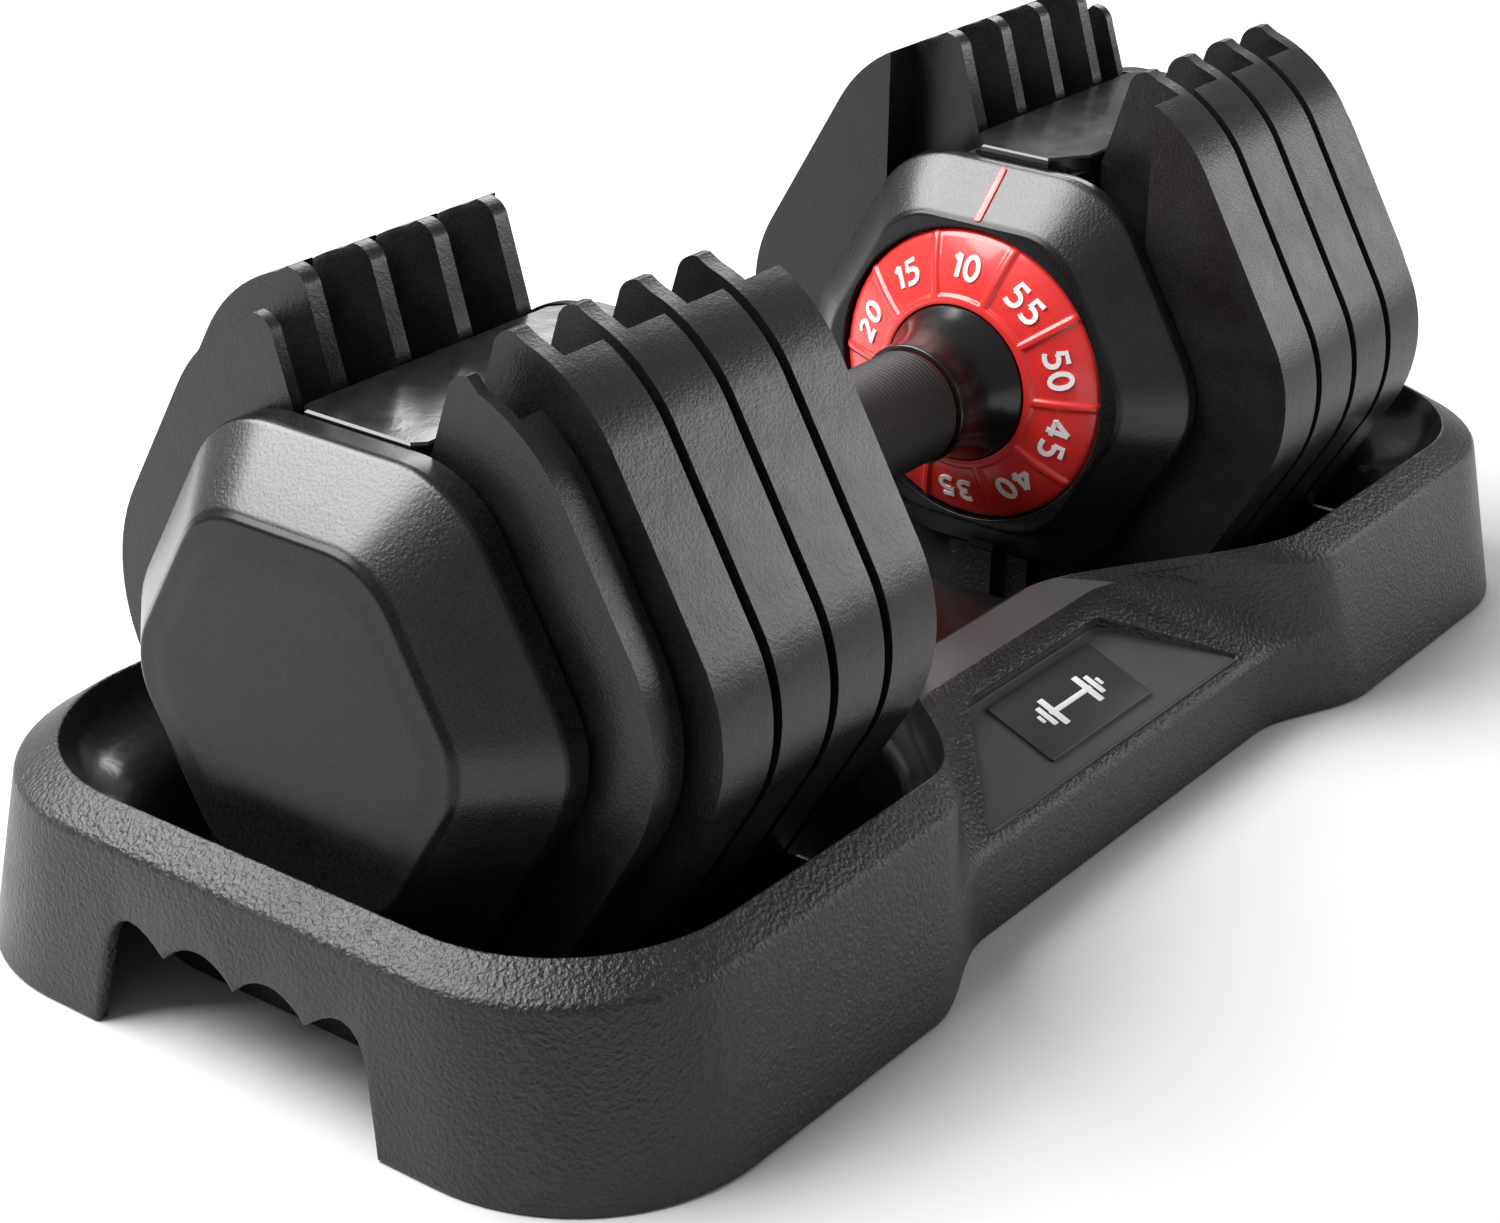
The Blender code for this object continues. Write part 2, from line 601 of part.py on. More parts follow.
def lid_mesh():
    start, end = HOUSING_BACK_X + SEAT_GAP, CAP_BACK_X - SEAT_GAP
    half = CORE_HALF + LID_OVERHANG
    low = CORE_TOP + SEAT_GAP
    rows = []
    for height, shrink in ((low, 0.0), (low + LID_THICK - 0.5 * MM, 0.0), (low + LID_THICK, 0.5 * MM)):
        along = half - shrink
        at_housing, at_cap = along - LID_LEAD_ACROSS, along - LID_CHAMFER
        first, last = start + shrink, end - shrink
        edge = [(first, at_housing), (first + LID_LEAD, along), (last - LID_CHAMFER, along), (last, at_cap)]
        plan = [(x, -y) for x, y in edge] + edge[::-1]
        rows.append([Vector((x, y, AXIS_HEIGHT + height)) for x, y in plan])
    rib_half = CORE_HALF - CORE_WALL - SEAT_GAP
    rib = block(start + 3 * MM, end - 3 * MM, -rib_half, rib_half,
                AXIS_HEIGHT + low - 2.5 * MM, AXIS_HEIGHT + low + MM)
    return join(skin(rows), rib)


def indicator_mesh():
    """Bar let into the flank of the housing above the dial."""
    flank_end = HOUSING_BACK_X - HOUSING_RIM
    rise = HOUSING_APOTHEM - FACE_APOTHEM
    normal = Vector((-rise, 0.0, HOUSING_FLANK)).normalized()
    foot = Vector((HOUSING_FACE_X, 0.0, AXIS_HEIGHT + FACE_APOTHEM))
    head = Vector((flank_end, 0.0, AXIS_HEIGHT + HOUSING_APOTHEM))
    low, high = foot.lerp(head, 0.05), foot.lerp(head, 0.94)
    across = Vector((0.0, INDICATOR_WIDTH / 2, 0.0))
    rows = []
    for lift in (SEAT_GAP, INDICATOR_PROUD):
        rows.append([low - across + normal * lift, low + across + normal * lift,
                     high + across + normal * lift, high - across + normal * lift])
    return skin(rows)


def add_frame(frame, steel, black, gloss, red):
    axle_end = CAP_BACK_X + SEAT_GAP + FLANGE_THICK + SEAT_GAP + NUT_THICK + 3 * MM
    piece("axle_rod", turned([(-axle_end, AXLE_R), (axle_end, AXLE_R)], False, 20), steel, frame)
    nut_x = CAP_BACK_X + 2 * SEAT_GAP + FLANGE_THICK
    nut = cut(prism(hexagon(NUT_APOTHEM, 0.2 * NUT_APOTHEM), nut_x, nut_x + NUT_THICK),
              prism(circle(AXLE_R + SEAT_GAP, 20), nut_x - MM, nut_x + NUT_THICK + MM))
    core = core_mesh()
    lid = lid_mesh()
    cap = cap_mesh()
    indicator = indicator_mesh()
    housing = housing_mesh()
    stem_room = STEM_HALF + RUNNING_GAP
    slider_x = wheel_start() + (WHEEL_THICK - SLIDER_THICK) / 2
    stem_hole = block(slider_x - RUNNING_GAP, slider_x + SLIDER_THICK + RUNNING_GAP, -stem_room, stem_room,
                      AXIS_HEIGHT - 2 * BASE_APOTHEM, AXIS_HEIGHT - 0.6 * BASE_APOTHEM)
    for side_name, side in SIDES.items():
        shell = cut(housing, stem_hole) if side > 0 else housing.copy()
        piece(f"inner_housing_{side_name}", shell, black, frame, side)
        piece(f"indicator_{side_name}", indicator.copy(), red, frame, side)
        piece(f"core_{side_name}", core.copy(), black, frame, side)
        piece(f"core_lid_{side_name}", lid.copy(), gloss, frame, side)
        piece(f"outer_cap_{side_name}", cap.copy(), black, frame, side)
        piece(f"axle_nut_{side_name}", nut.copy(), steel, frame, side)


# ---------------------------------------------------------------- lock and detent

def slider_bottom():
    """Lower end of the lock's stem, about the axis."""
    return -(HOUSING_APOTHEM - 1.5 * MM)


def ceiling_above_wheel():
    """Inner height of the housing over the middle of the wheels, about the axis."""
    slope = (HOUSING_APOTHEM - FACE_APOTHEM) / HOUSING_FLANK
    depth = wheel_start() - HOUSING_FACE_X
    return FACE_APOTHEM + depth * slope - 1.4 * SHELL_WALL


def slider_mesh():
    """Plate with a window round the wheel, a tooth above it and a stem below."""
    start = wheel_start() + (WHEEL_THICK - SLIDER_THICK) / 2
    window = WHEEL_R + 1.4 * MM
    top = WHEEL_R + TOOTH_GAP + LOCK_TRAVEL + MM
    bottom = WHEEL_R + 2.4 * MM
    half = window + SLIDER_BAR
    outer = [(STEM_HALF, slider_bottom()), (STEM_HALF, -bottom - SLIDER_BAR), (half, -bottom - SLIDER_BAR),
             (half, top + SLIDER_BAR - 3 * MM), (half - 3 * MM, top + SLIDER_BAR)]
    plate = prism(outer + [(-y, z) for y, z in reversed(outer)], start, start + SLIDER_THICK)
    hole = [(window, -bottom), (window, top), (TOOTH_HALF, top), (0.7 * TOOTH_HALF, WHEEL_R + TOOTH_GAP)]
    opening = prism(hole + [(-y, z) for y, z in reversed(hole)], start - MM, start + SLIDER_THICK + MM)
    return cut(plate, opening)


def spring_mesh(x, z_low, z_high):
    """Round-wire compression spring, upright, with its ends closed."""
    steps = 7 * SPRING_TURNS
    rows = []
    low, high = z_low + SPRING_WIRE_R, z_high - SPRING_WIRE_R
    for step in range(steps + 1):
        turn = math.tau * SPRING_TURNS * step / steps
        out = Vector((math.cos(turn), math.sin(turn), 0.0))
        centre = Vector((x, 0.0, low + (high - low) * step / steps)) + out * SPRING_R
        rows.append([centre + SPRING_WIRE_R * (out * math.cos(a) + Vector((0, 0, math.sin(a))))
                     for a in (0, math.pi / 2, math.pi, 3 * math.pi / 2)])
    return skin(rows)


def add_lock_and_detent(frame, rotor, steel, black):
    middle = wheel_start() + WHEEL_THICK / 2
    wheel = wheel_mesh()
    piece("lock_wheel", wheel.copy(), steel, rotor, SIDES["far"])
    piece("detent_wheel", wheel.copy(), steel, rotor, SIDES["near"])
    ceiling = ceiling_above_wheel()
    lock = body("lock_slide", (middle, 0.0, AXIS_HEIGHT + WHEEL_R))
    slider_top = WHEEL_R + TOOTH_GAP + LOCK_TRAVEL + MM + SLIDER_BAR
    piece("lock_slider", slider_mesh(), black, lock)
    piece("lock_spring", spring_mesh(middle, AXIS_HEIGHT + slider_top + SEAT_GAP,
                                     AXIS_HEIGHT + ceiling - SEAT_GAP), steel, frame)
    tip = WHEEL_R + TOOTH_GAP
    head = tip + 13.0 * MM
    tip_row = [(PLUNGER_R * 0.5 * y, PLUNGER_R * 0.5 * z) for y, z in circle(1.0, 12)]
    pin_row = [(PLUNGER_R * y, PLUNGER_R * z) for y, z in circle(1.0, 12)]
    rows = [[Vector((middle + across, y, AXIS_HEIGHT + height)) for across, y in row]
            for row, height in ((tip_row, tip), (pin_row, tip + 2.4 * MM), (pin_row, head))]
    detent = body("detent_slide", (-middle, 0.0, AXIS_HEIGHT + WHEEL_R))
    piece("detent_plunger", skin(rows), steel, detent, SIDES["near"])
    piece("detent_spring", spring_mesh(middle, AXIS_HEIGHT + head + SEAT_GAP,
                                       AXIS_HEIGHT + ceiling - SEAT_GAP), steel, frame, SIDES["near"])
    web_back = wheel_start() - WHEEL_GAP
    guide_bore = [((PLUNGER_R + SEAT_GAP) * y, (PLUNGER_R + SEAT_GAP) * z) for y, z in circle(1.0, 12)]
    flange_face = HOUSING_BACK_X - FLANGE_THICK - SEAT_GAP
    guide_low, guide_high = AXIS_HEIGHT + tip + 4 * MM, AXIS_HEIGHT + tip + 11 * MM
    guide = block(web_back + SEAT_GAP, flange_face - SEAT_GAP, -5 * MM, 5 * MM, guide_low, guide_high)
    guide = cut(guide, upright(guide_bore, middle, guide_low - MM, guide_high + MM))
    piece("detent_guide", guide, black, frame, SIDES["near"])


# ---------------------------------------------------------------- tray

def plate_half_width(height):
    """Half width of a large plate's straight flank at a height above the floor."""
    drop = AXIS_HEIGHT + PLATE_RISE - height
    return (LARGE_APOTHEM - drop * math.sin(math.radians(30))) / math.cos(math.radians(30))


def ease(value):
    value = min(max(value, 0.0), 1.0)
    return value * value * (3 - 2 * value)


def tray_loop(well, waist, sweep):
    """One level of the tray, as a closed loop.

    well is (half length, half width, corner radius, height), waist is (half width, height) and
    sweep gives the two distances from the middle between which the waist widens into the well.
    """
    length, width, corner, height = well
    waist_width, waist_height = waist
    quarter = [(0.0, waist_width, waist_height)]
    steps = 7
    for step in range(steps + 1):
        x = sweep[0] + (sweep[1] - sweep[0]) * step / steps
        blend = ease(step / steps)
        quarter.append((x, waist_width + (width - waist_width) * blend,
                        waist_height + (height - waist_height) * blend))
    corner_points = arc((length - corner, width - corner), corner, math.pi / 2, 0.0, 6)
    quarter += [(x, y, height) for x, y in corner_points]
    far = quarter + [(x, -y, z) for x, y, z in reversed(quarter)]
    near = [(-x, y, z) for x, y, z in reversed(far[1:-1])]
    return [Vector(point) for point in far + near]


def slope_frame():
    """Origin, downhill direction and normal of the sloped side of the waist at -Y."""
    top = Vector((0.0, -WAIST_RIDGE_HALF, WAIST_RIDGE_HEIGHT))
    bottom = Vector((0.0, -WAIST_SHOULDER_HALF, WAIST_SHOULDER_HEIGHT))
    down = (bottom - top).normalized()
    return top, down, Vector((0.0, down.z, -down.y)).normalized(), (bottom - top).length


def slab_on_slope(top_half, bottom_half, start, end, lows, highs):
    """Slab on the sloped side, between two distances downhill.

    lows and highs give the height of its two faces above the slope, at the start and at the end.
    """
    origin, down, normal, _length = slope_frame()
    across = Vector((1.0, 0.0, 0.0))
    rows = []
    for start_lift, end_lift in (lows, highs):
        upper = origin + down * start + normal * start_lift
        lower = origin + down * end + normal * end_lift
        rows.append([upper - across * top_half, upper + across * top_half,
                     lower + across * bottom_half, lower - across * bottom_half])
    return skin(rows)


def panel_lift(distance):
    """Height of the recessed panel above the slope, so below zero, at a distance downhill."""
    length = slope_frame()[3]
    share = (distance - PANEL_MARGIN_TOP) / (length - PANEL_MARGIN_BOTTOM - PANEL_MARGIN_TOP)
    return -PANEL_DEPTH_TOP + (PANEL_DEPTH_TOP - PANEL_DEPTH_BOTTOM) * share


def turned_round(mesh):
    """Copy turned half a turn about the vertical, for the opposite side of the tray."""
    copy = mesh.copy()
    copy.transform(Matrix.Rotation(math.pi, 4, "Z"))
    return copy


def tray_mesh():
    rim_x = CAP_FACE_X + END_CLEARANCE
    rim_y = plate_half_width(RIM_HEIGHT) + SIDE_CLEARANCE
    ridge_x, ridge_y = rim_x + RIM_BAND_X, rim_y + RIM_BAND_Y
    foot_x, foot_y = ridge_x + FLARE_X, ridge_y + FLARE_Y
    ridge_z = RIM_HEIGHT - RIDGE_DROP
    corner = WELL_CORNER
    wall = TRAY_WALL
    floor_z, under_z = FLOOR_TOP, FLOOR_TOP - FLOOR_THICK
    mid_z = WAIST_SHOULDER_HEIGHT
    mid_x = foot_x - FLARE_X * mid_z / ridge_z
    mid_y = foot_y - FLARE_Y * mid_z / ridge_z
    saddle = SADDLE_HEIGHT
    floor = (rim_x - 17.6 * MM, rim_y - 21.6 * MM, corner - 14 * MM)
    low = (rim_x - 17.0 * MM, rim_y - 20.5 * MM, corner - 14 * MM)
    ledge = (rim_x - 13.5 * MM, rim_y - 16.5 * MM, corner - 11 * MM)
    lip = (rim_x - 2.5 * MM, rim_y - 3.5 * MM, corner - 2 * MM)
    loops = [
        ((*floor, floor_z), (26 * MM, saddle), (40 * MM, 67 * MM)),
        ((*low, 14 * MM), (34 * MM, saddle + 2 * MM), (36 * MM, 73 * MM)),
        ((*ledge, 33 * MM), (40 * MM, saddle + 5 * MM), (31 * MM, 79 * MM)),
        ((*lip, 42 * MM), (43 * MM, saddle + 10.5 * MM), (25 * MM, 84 * MM)),
        ((rim_x, rim_y, corner, RIM_HEIGHT), (WAIST_RIM_HALF, WAIST_RIM_HEIGHT), (22 * MM, 88 * MM)),
        ((ridge_x, ridge_y, corner + 4 * MM, ridge_z),
         (WAIST_RIDGE_HALF, WAIST_RIDGE_HEIGHT), (38 * MM, 92 * MM)),
        ((mid_x, mid_y, corner + 3.5 * MM, mid_z), (WAIST_SHOULDER_HALF, mid_z), (62 * MM, 97 * MM)),
        ((foot_x, foot_y, corner + 3 * MM, SKIRT_LIFT), (WAIST_FOOT_HALF, SKIRT_LIFT), (66 * MM, 105 * MM)),
        ((foot_x - wall, foot_y - wall, corner, SKIRT_LIFT),
         (WAIST_FOOT_HALF - wall, SKIRT_LIFT), (66 * MM, 105 * MM)),
        ((mid_x - wall, mid_y - wall, corner, mid_z - wall),
         (WAIST_SHOULDER_HALF - wall, mid_z - SLOPE_WALL), (62 * MM, 98 * MM)),
        ((ridge_x - wall, ridge_y - wall, corner, ridge_z - wall),
         (WAIST_RIDGE_HALF - MM, WAIST_RIDGE_HEIGHT - SLOPE_WALL), (36 * MM, 93 * MM)),
        ((rim_x + 0.4 * wall, rim_y + 0.4 * wall, corner, RIM_HEIGHT - wall),
         (WAIST_RIM_HALF + wall, WAIST_RIM_HEIGHT - wall), (24 * MM, 89 * MM)),
        ((lip[0] + 2.6 * MM, lip[1] + 2.6 * MM, lip[2] + 2 * MM, 40.3 * MM),
         (45.5 * MM, saddle + 8 * MM), (26 * MM, 83 * MM)),
        ((ledge[0] + 2.75 * MM, ledge[1] + 2.75 * MM, ledge[2] + 2.5 * MM, 31.4 * MM),
         (42.5 * MM, saddle + 2.5 * MM), (30 * MM, 77 * MM)),
        ((low[0] + wall, low[1] + wall, low[2] + wall, 13.5 * MM),
         (34 * MM + wall, saddle - MM), (34 * MM, 70 * MM)),
        ((floor[0] + 1.6 * MM, floor[1] + 1.6 * MM, floor[2] + MM, under_z),
         (28 * MM, saddle - FLOOR_THICK), (38 * MM, 64 * MM)),
    ]
    shell = skin([tray_loop(*levels) for levels in loops], paired_ends=True)
    length = slope_frame()[3]
    recess = slab_on_slope(PANEL_TOP_HALF, PANEL_BOTTOM_HALF, PANEL_MARGIN_TOP, length - PANEL_MARGIN_BOTTOM,
                           (-PANEL_DEPTH_TOP, -PANEL_DEPTH_BOTTOM), (6 * MM, 6 * MM))
    shoulder = [(y * MM, z * MM) for y, z in CUTOUT_SHOULDERS]
    arch = [(-CUTOUT_HALF, -5 * MM), (CUTOUT_HALF, -5 * MM)] + shoulder[::-1]
    for index in (0, 1):
        for step in range(index, 6):
            y = SCALLOP_PITCH * (1 - index - step / 5)
            arch.append((y, CUTOUT_CUSP + SCALLOP_RISE * math.sin(math.pi * step / 5)))
    arch += [(-y, z) for y, z in shoulder]
    finger = prism(arch, rim_x + wall, foot_x + 10 * MM, 0.0)
    feet = []
    for x in (-FOOT_X, FOOT_X):
        for y in (-FOOT_Y, FOOT_Y):
            ring = [(across, y + out) for across, out in circle(FOOT_R + SEAT_GAP, 20)]
            feet.append(upright(ring, x, -MM, FLOOR_TOP + MM))
    return cut(shell, recess, turned_round(recess), finger, turned_round(finger), *feet)


def fin_outline():
    low = FLOOR_TOP + SEAT_GAP
    return [(FIN_INNER, low), (RAIL_OUTER, low), (FIN_TOP_OUTER, low + FIN_HEIGHT),
            (FIN_TOP_INNER, low + FIN_HEIGHT), (FIN_INNER, low + FIN_FOOT_HEIGHT)]


def rack_mesh():
    """Two rails with fins between the plates, joined by a bar with a cradle for the cap."""
    low = FLOOR_TOP + SEAT_GAP
    bar_end = CAP_BACK_X + CAP_RIM
    small_bottom = AXIS_HEIGHT + PLATE_RISE - SMALL_APOTHEM
    bar = block(SMALL_PLATE_X + 0.5 * MM, PLATES_END_X + 0.5 * MM, -RAIL_OUTER, RAIL_OUTER,
                low, small_bottom - SEAT_GAP)
    additions = []
    gaps = [FIRST_PLATE_X + (index + 1) * PLATE_PITCH - PLATE_GAP / 2 for index in range(LARGE_PLATES - 1)]
    gaps.append(SMALL_PLATE_X - SMALL_PLATE_GAP / 2)
    for side in (-1, 1):
        rail_y = sorted((side * RAIL_INNER, side * (RAIL_OUTER - 0.5 * MM)))
        additions.append(block(FIRST_PLATE_X + 6 * MM, SMALL_PLATE_X + 3 * MM, *rail_y,
                               low, low + RAIL_HEIGHT))
        fin = [(side * y, z) for y, z in fin_outline()]
        additions += [prism(fin, x - FIN_THICK / 2, x + FIN_THICK / 2, 0.0) for x in gaps]
    additions.append(block(PLATES_END_X - 2 * MM, bar_end, 0.5 * MM - CRADLE_HALF, CRADLE_HALF - 0.5 * MM,
                           low, low + 5 * MM))
    additions.append(block(CAP_BACK_X + 0.5 * MM, bar_end - 0.5 * MM, -CRADLE_HALF, CRADLE_HALF,
                           low + MM, AXIS_HEIGHT - BASE_APOTHEM - SEAT_GAP))
    return join(bar, *additions)


def cradle_mesh():
    """Block under the inner housing's rim, with the post that frees the lock."""
    low = FLOOR_TOP + SEAT_GAP
    rim_start = HOUSING_BACK_X - HOUSING_RIM
    post_x = wheel_start() + (WHEEL_THICK - SLIDER_THICK) / 2
    foot = block(post_x - 3 * MM, HOUSING_BACK_X - 0.2 * MM, -CRADLE_HALF, CRADLE_HALF, low, low + 5 * MM)
    seat = block(rim_start + 0.2 * MM, HOUSING_BACK_X - 0.4 * MM, -CRADLE_HALF + MM, CRADLE_HALF - MM,
                 low + MM, AXIS_HEIGHT - HOUSING_APOTHEM - SEAT_GAP)
    post = block(post_x - 0.5 * MM, post_x + SLIDER_THICK - 0.2 * MM, -STEM_HALF, STEM_HALF,
                 low + MM, AXIS_HEIGHT + slider_bottom() - SEAT_GAP)
    return join(foot, seat, post)


def add_tray(tray, plastic, rubber, label_gray):
    piece("tray_shell", tray_mesh(), plastic, tray)
    rack = rack_mesh()
    cradle = cradle_mesh()
    for side_name, side in SIDES.items():
        piece(f"rack_{side_name}", rack.copy(), plastic, tray, side)
        piece(f"cradle_{side_name}", cradle.copy(), plastic, tray, side)
    length = slope_frame()[3]
    middle = (PANEL_MARGIN_TOP + length - PANEL_MARGIN_BOTTOM) / 2 - LABEL_SHIFT
    start, end = middle - LABEL_HEIGHT / 2, middle + LABEL_HEIGHT / 2
    lows = [panel_lift(distance) + SEAT_GAP for distance in (start, end)]
    label = slab_on_slope(LABEL_HALF, LABEL_HALF, start, end, lows, [low + LABEL_THICK for low in lows])
    piece("label_front", label, label_gray, tray)
    piece("label_back", turned_round(label), label_gray, tray)
    number = 0
    for x in (-FOOT_X, FOOT_X):
        for y in (-FOOT_Y, FOOT_Y):
            number += 1
            ring = [(across, y + out) for across, out in circle(FOOT_R, 20)]
            piece(f"foot_{number}", upright(ring, x, 0.0, FLOOR_TOP - SEAT_GAP), rubber, tray)


def build():
    for item in list(bpy.data.objects):
        bpy.data.objects.remove(item)
    iron = make_material("coated_iron", (0.045, 0.045, 0.047), 0.42, 0.35)
    black = make_material("moulded_nylon", (0.03, 0.03, 0.032), 0.45, 0.0)
    gloss = make_material("lid_nylon", (0.03, 0.03, 0.032), 0.25, 0.0)
    tray_plastic = make_material("tray_plastic", (0.022, 0.022, 0.023), 0.55, 0.0)
    red = make_material("dial_red", (0.75, 0.04, 0.03), 0.3, 0.0)
    hub_black = make_material("hub_black", (0.015, 0.015, 0.017), 0.25, 0.0)
    grip_rubber = make_material("grip_rubber", (0.03, 0.022, 0.02), 0.6, 0.0)
    steel = make_material("plated_steel", (0.5, 0.5, 0.52), 0.35, 1.0)
    zinc = make_material("zinc_alloy", (0.42, 0.43, 0.45), 0.45, 1.0)
    foot_rubber = make_material("foot_rubber", (0.02, 0.02, 0.02), 0.8, 0.0)
    label_gray = make_material("label_gray", (0.05, 0.052, 0.056), 0.5, 0.0)
    tray = body("tray", (0.0, 0.0, 0.0))
    frame = body("handle_lift", (0.0, 0.0, AXIS_HEIGHT))
    rotor = body("weight_dial", (0.0, 0.0, AXIS_HEIGHT))
    add_tray(tray, tray_plastic, foot_rubber, label_gray)
    add_frame(frame, steel, black, gloss, red)
    add_handle(rotor, steel, grip_rubber, hub_black, red)
    add_selectors(rotor, zinc, steel)
    add_lock_and_detent(frame, rotor, steel, black)
    add_plates(iron)


build()
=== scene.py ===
"""Adjustable dumbbell resting in its storage tray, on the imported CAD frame."""
import math

import bmesh
import bpy
from mathutils import Matrix, Vector


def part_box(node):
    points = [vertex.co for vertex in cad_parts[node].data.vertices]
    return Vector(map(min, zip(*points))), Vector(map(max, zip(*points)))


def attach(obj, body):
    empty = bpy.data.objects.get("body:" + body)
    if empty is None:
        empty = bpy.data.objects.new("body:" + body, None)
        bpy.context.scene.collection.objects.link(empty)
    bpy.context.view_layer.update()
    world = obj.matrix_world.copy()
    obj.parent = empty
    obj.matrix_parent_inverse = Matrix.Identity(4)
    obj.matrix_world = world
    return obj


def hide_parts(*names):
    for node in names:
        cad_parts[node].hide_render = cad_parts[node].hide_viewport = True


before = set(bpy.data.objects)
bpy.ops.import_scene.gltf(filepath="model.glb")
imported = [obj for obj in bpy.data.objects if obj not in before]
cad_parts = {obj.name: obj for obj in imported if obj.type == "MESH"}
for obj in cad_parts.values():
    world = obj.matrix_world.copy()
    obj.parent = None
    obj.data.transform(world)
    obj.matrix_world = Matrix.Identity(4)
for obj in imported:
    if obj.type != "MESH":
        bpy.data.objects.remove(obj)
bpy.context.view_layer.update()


# ======================================== camera and studio
# A long lens looks down at the near left corner of the tray. The floor is a wide pale sheet, and
# three soft boxes light the object from above, from behind and from its far side. Their sizes are in
# metres and their powers in watts.

azimuth, elevation, roll = math.radians(-53.27), math.radians(25.31), math.radians(0.79)
back = Vector((math.sin(azimuth) * math.cos(elevation), -math.cos(azimuth) * math.cos(elevation),
               math.sin(elevation)))
level = Vector((math.cos(azimuth), math.sin(azimuth), 0.0))
upward = back.cross(level)
right = level * math.cos(roll) + upward * math.sin(roll)
above = upward * math.cos(roll) - level * math.sin(roll)
camera_place = (-0.5916, -0.4157, 0.3743)
camera_data = bpy.data.cameras.new("camera")
camera_data.lens = 73.46
camera_data.sensor_width = 36.0
camera_data.sensor_fit = "HORIZONTAL"
camera_data.clip_start = 0.01
camera = bpy.data.objects.new("camera", camera_data)
camera_turn = Matrix((right, above, back)).transposed().to_4x4()
camera.matrix_world = Matrix.Translation(camera_place) @ camera_turn
bpy.context.scene.collection.objects.link(camera)
bpy.context.scene.camera = camera


def area_light(name, place, target, width, height, power):
    data = bpy.data.lights.new(name, "AREA")
    data.shape = "RECTANGLE"
    data.size = width
    data.size_y = height
    data.energy = power
    light = bpy.data.objects.new(name, data)
    light.location = place
    light.visible_camera = False
    light.rotation_euler = (Vector(target) - Vector(place)).to_track_quat("-Z", "Y").to_euler()
    bpy.context.scene.collection.objects.link(light)


for light_name, light_place, light_target, light_width, light_height, light_power in (
        ("softbox_above", (-0.40, 0.62, 1.05), (0.0, 0.0, 0.08), 1.25, 0.85, 42.0),
        ("softbox_behind", (0.95, 0.55, 0.85), (0.05, 0.0, 0.08), 0.8, 0.5, 10.0),
        ("softbox_side", (1.05, -0.9, 0.45), (0.0, 0.0, 0.1), 0.8, 0.45, 6.5)):
    area_light(light_name, light_place, light_target, light_width, light_height, light_power)

world = bpy.data.worlds.new("studio")
world.use_nodes = True
background = world.node_tree.nodes["Background"]
background.inputs["Color"].default_value = (1.0, 1.0, 1.0, 1.0)
background.inputs["Strength"].default_value = 0.3
bpy.context.scene.world = world
bpy.context.scene.view_settings.view_transform = "Standard"


class Value:
    """A node's output, which adds, subtracts and multiplies as a number would."""

    def __init__(self, tree, output):
        self.tree = tree
        self.output = output

    def math(self, operation, *values):
        node = self.tree.nodes.new("ShaderNodeMath")
        node.operation = operation
        for slot, value in zip(node.inputs, values):
            if isinstance(value, Value):
                self.tree.links.new(value.output, slot)
            else:
                slot.default_value = value
        return Value(self.tree, node.outputs[0])

    def __add__(self, other):
        return self.math("ADD", self, other)

    def __radd__(self, other):
        return self.math("ADD", other, self)

    def __sub__(self, other):
        return self.math("SUBTRACT", self, other)

    def __rsub__(self, other):
        return self.math("SUBTRACT", other, self)

    def __mul__(self, other):
        return self.math("MULTIPLY", self, other)

    def __rmul__(self, other):
        return self.math("MULTIPLY", other, self)

    def __abs__(self):
        return self.math("ABSOLUTE", self)


class Finish:
    """A material whose Principled shader takes constants at once and node values through feed()."""

    def __init__(self, name, **constants):
        self.material = bpy.data.materials.new(name)
        self.material.use_nodes = True
        self.tree = self.material.node_tree
        self.shader = self.tree.nodes["Principled BSDF"]
        for socket, value in constants.items():
            self.shader.inputs[socket.replace("_", " ")].default_value = value

    def add(self, kind, settings=None, inputs=None, output=0):
        """A node of any kind, as a Value of one of its outputs."""
        node = self.tree.nodes.new("ShaderNode" + kind)
        for key, setting in (settings or {}).items():
            setattr(node, key, setting)
        for key, value in (inputs or {}).items():
            if isinstance(value, Value):
                self.tree.links.new(value.output, node.inputs[key])
            else:
                node.inputs[key].default_value = value
        return Value(self.tree, node.outputs[output])

    def place(self):
        """The point in the piece's own coordinates, in metres."""
        return self.add("TexCoord", output="Object")

    def axis(self, letter, vector):
        return self.add("SeparateXYZ", inputs={"Vector": vector}, output=letter)

    def noise(self, size, detail=2.0, roughness=0.5, vector=None):
        """Noise from 0 to 1 whose features are about size metres across."""
        return self.add("TexNoise", inputs={"Vector": vector or self.place(), "Scale": 1.0 / size,
                                            "Detail": detail, "Roughness": roughness})

    def step(self, value, low, high, start=0.0, end=1.0):
        """Smooth change from start to end as the value goes from low to high."""
        return self.add("MapRange", {"interpolation_type": "SMOOTHSTEP"},
                        {"Value": value, "From Min": low, "From Max": high, "To Min": start, "To Max": end})

    def mix(self, factor, first, second):
        """Blend of two linear colours."""
        return self.add("Mix", {"data_type": "RGBA"},
                        {"Factor": factor, "A": (*first, 1.0), "B": (*second, 1.0)}, output="Result")

    def mix_onto(self, factor, under, colour):
        return self.add("Mix", {"data_type": "RGBA"},
                        {"Factor": factor, "A": under, "B": (*colour, 1.0)}, output="Result")

    def feed(self, socket, value):
        self.tree.links.new(value.output, self.shader.inputs[socket])

    def emboss(self, height):
        """Bump from a height in metres."""
        self.feed("Normal", self.add("Bump", inputs={"Strength": 1.0, "Distance": 1.0, "Height": height}))


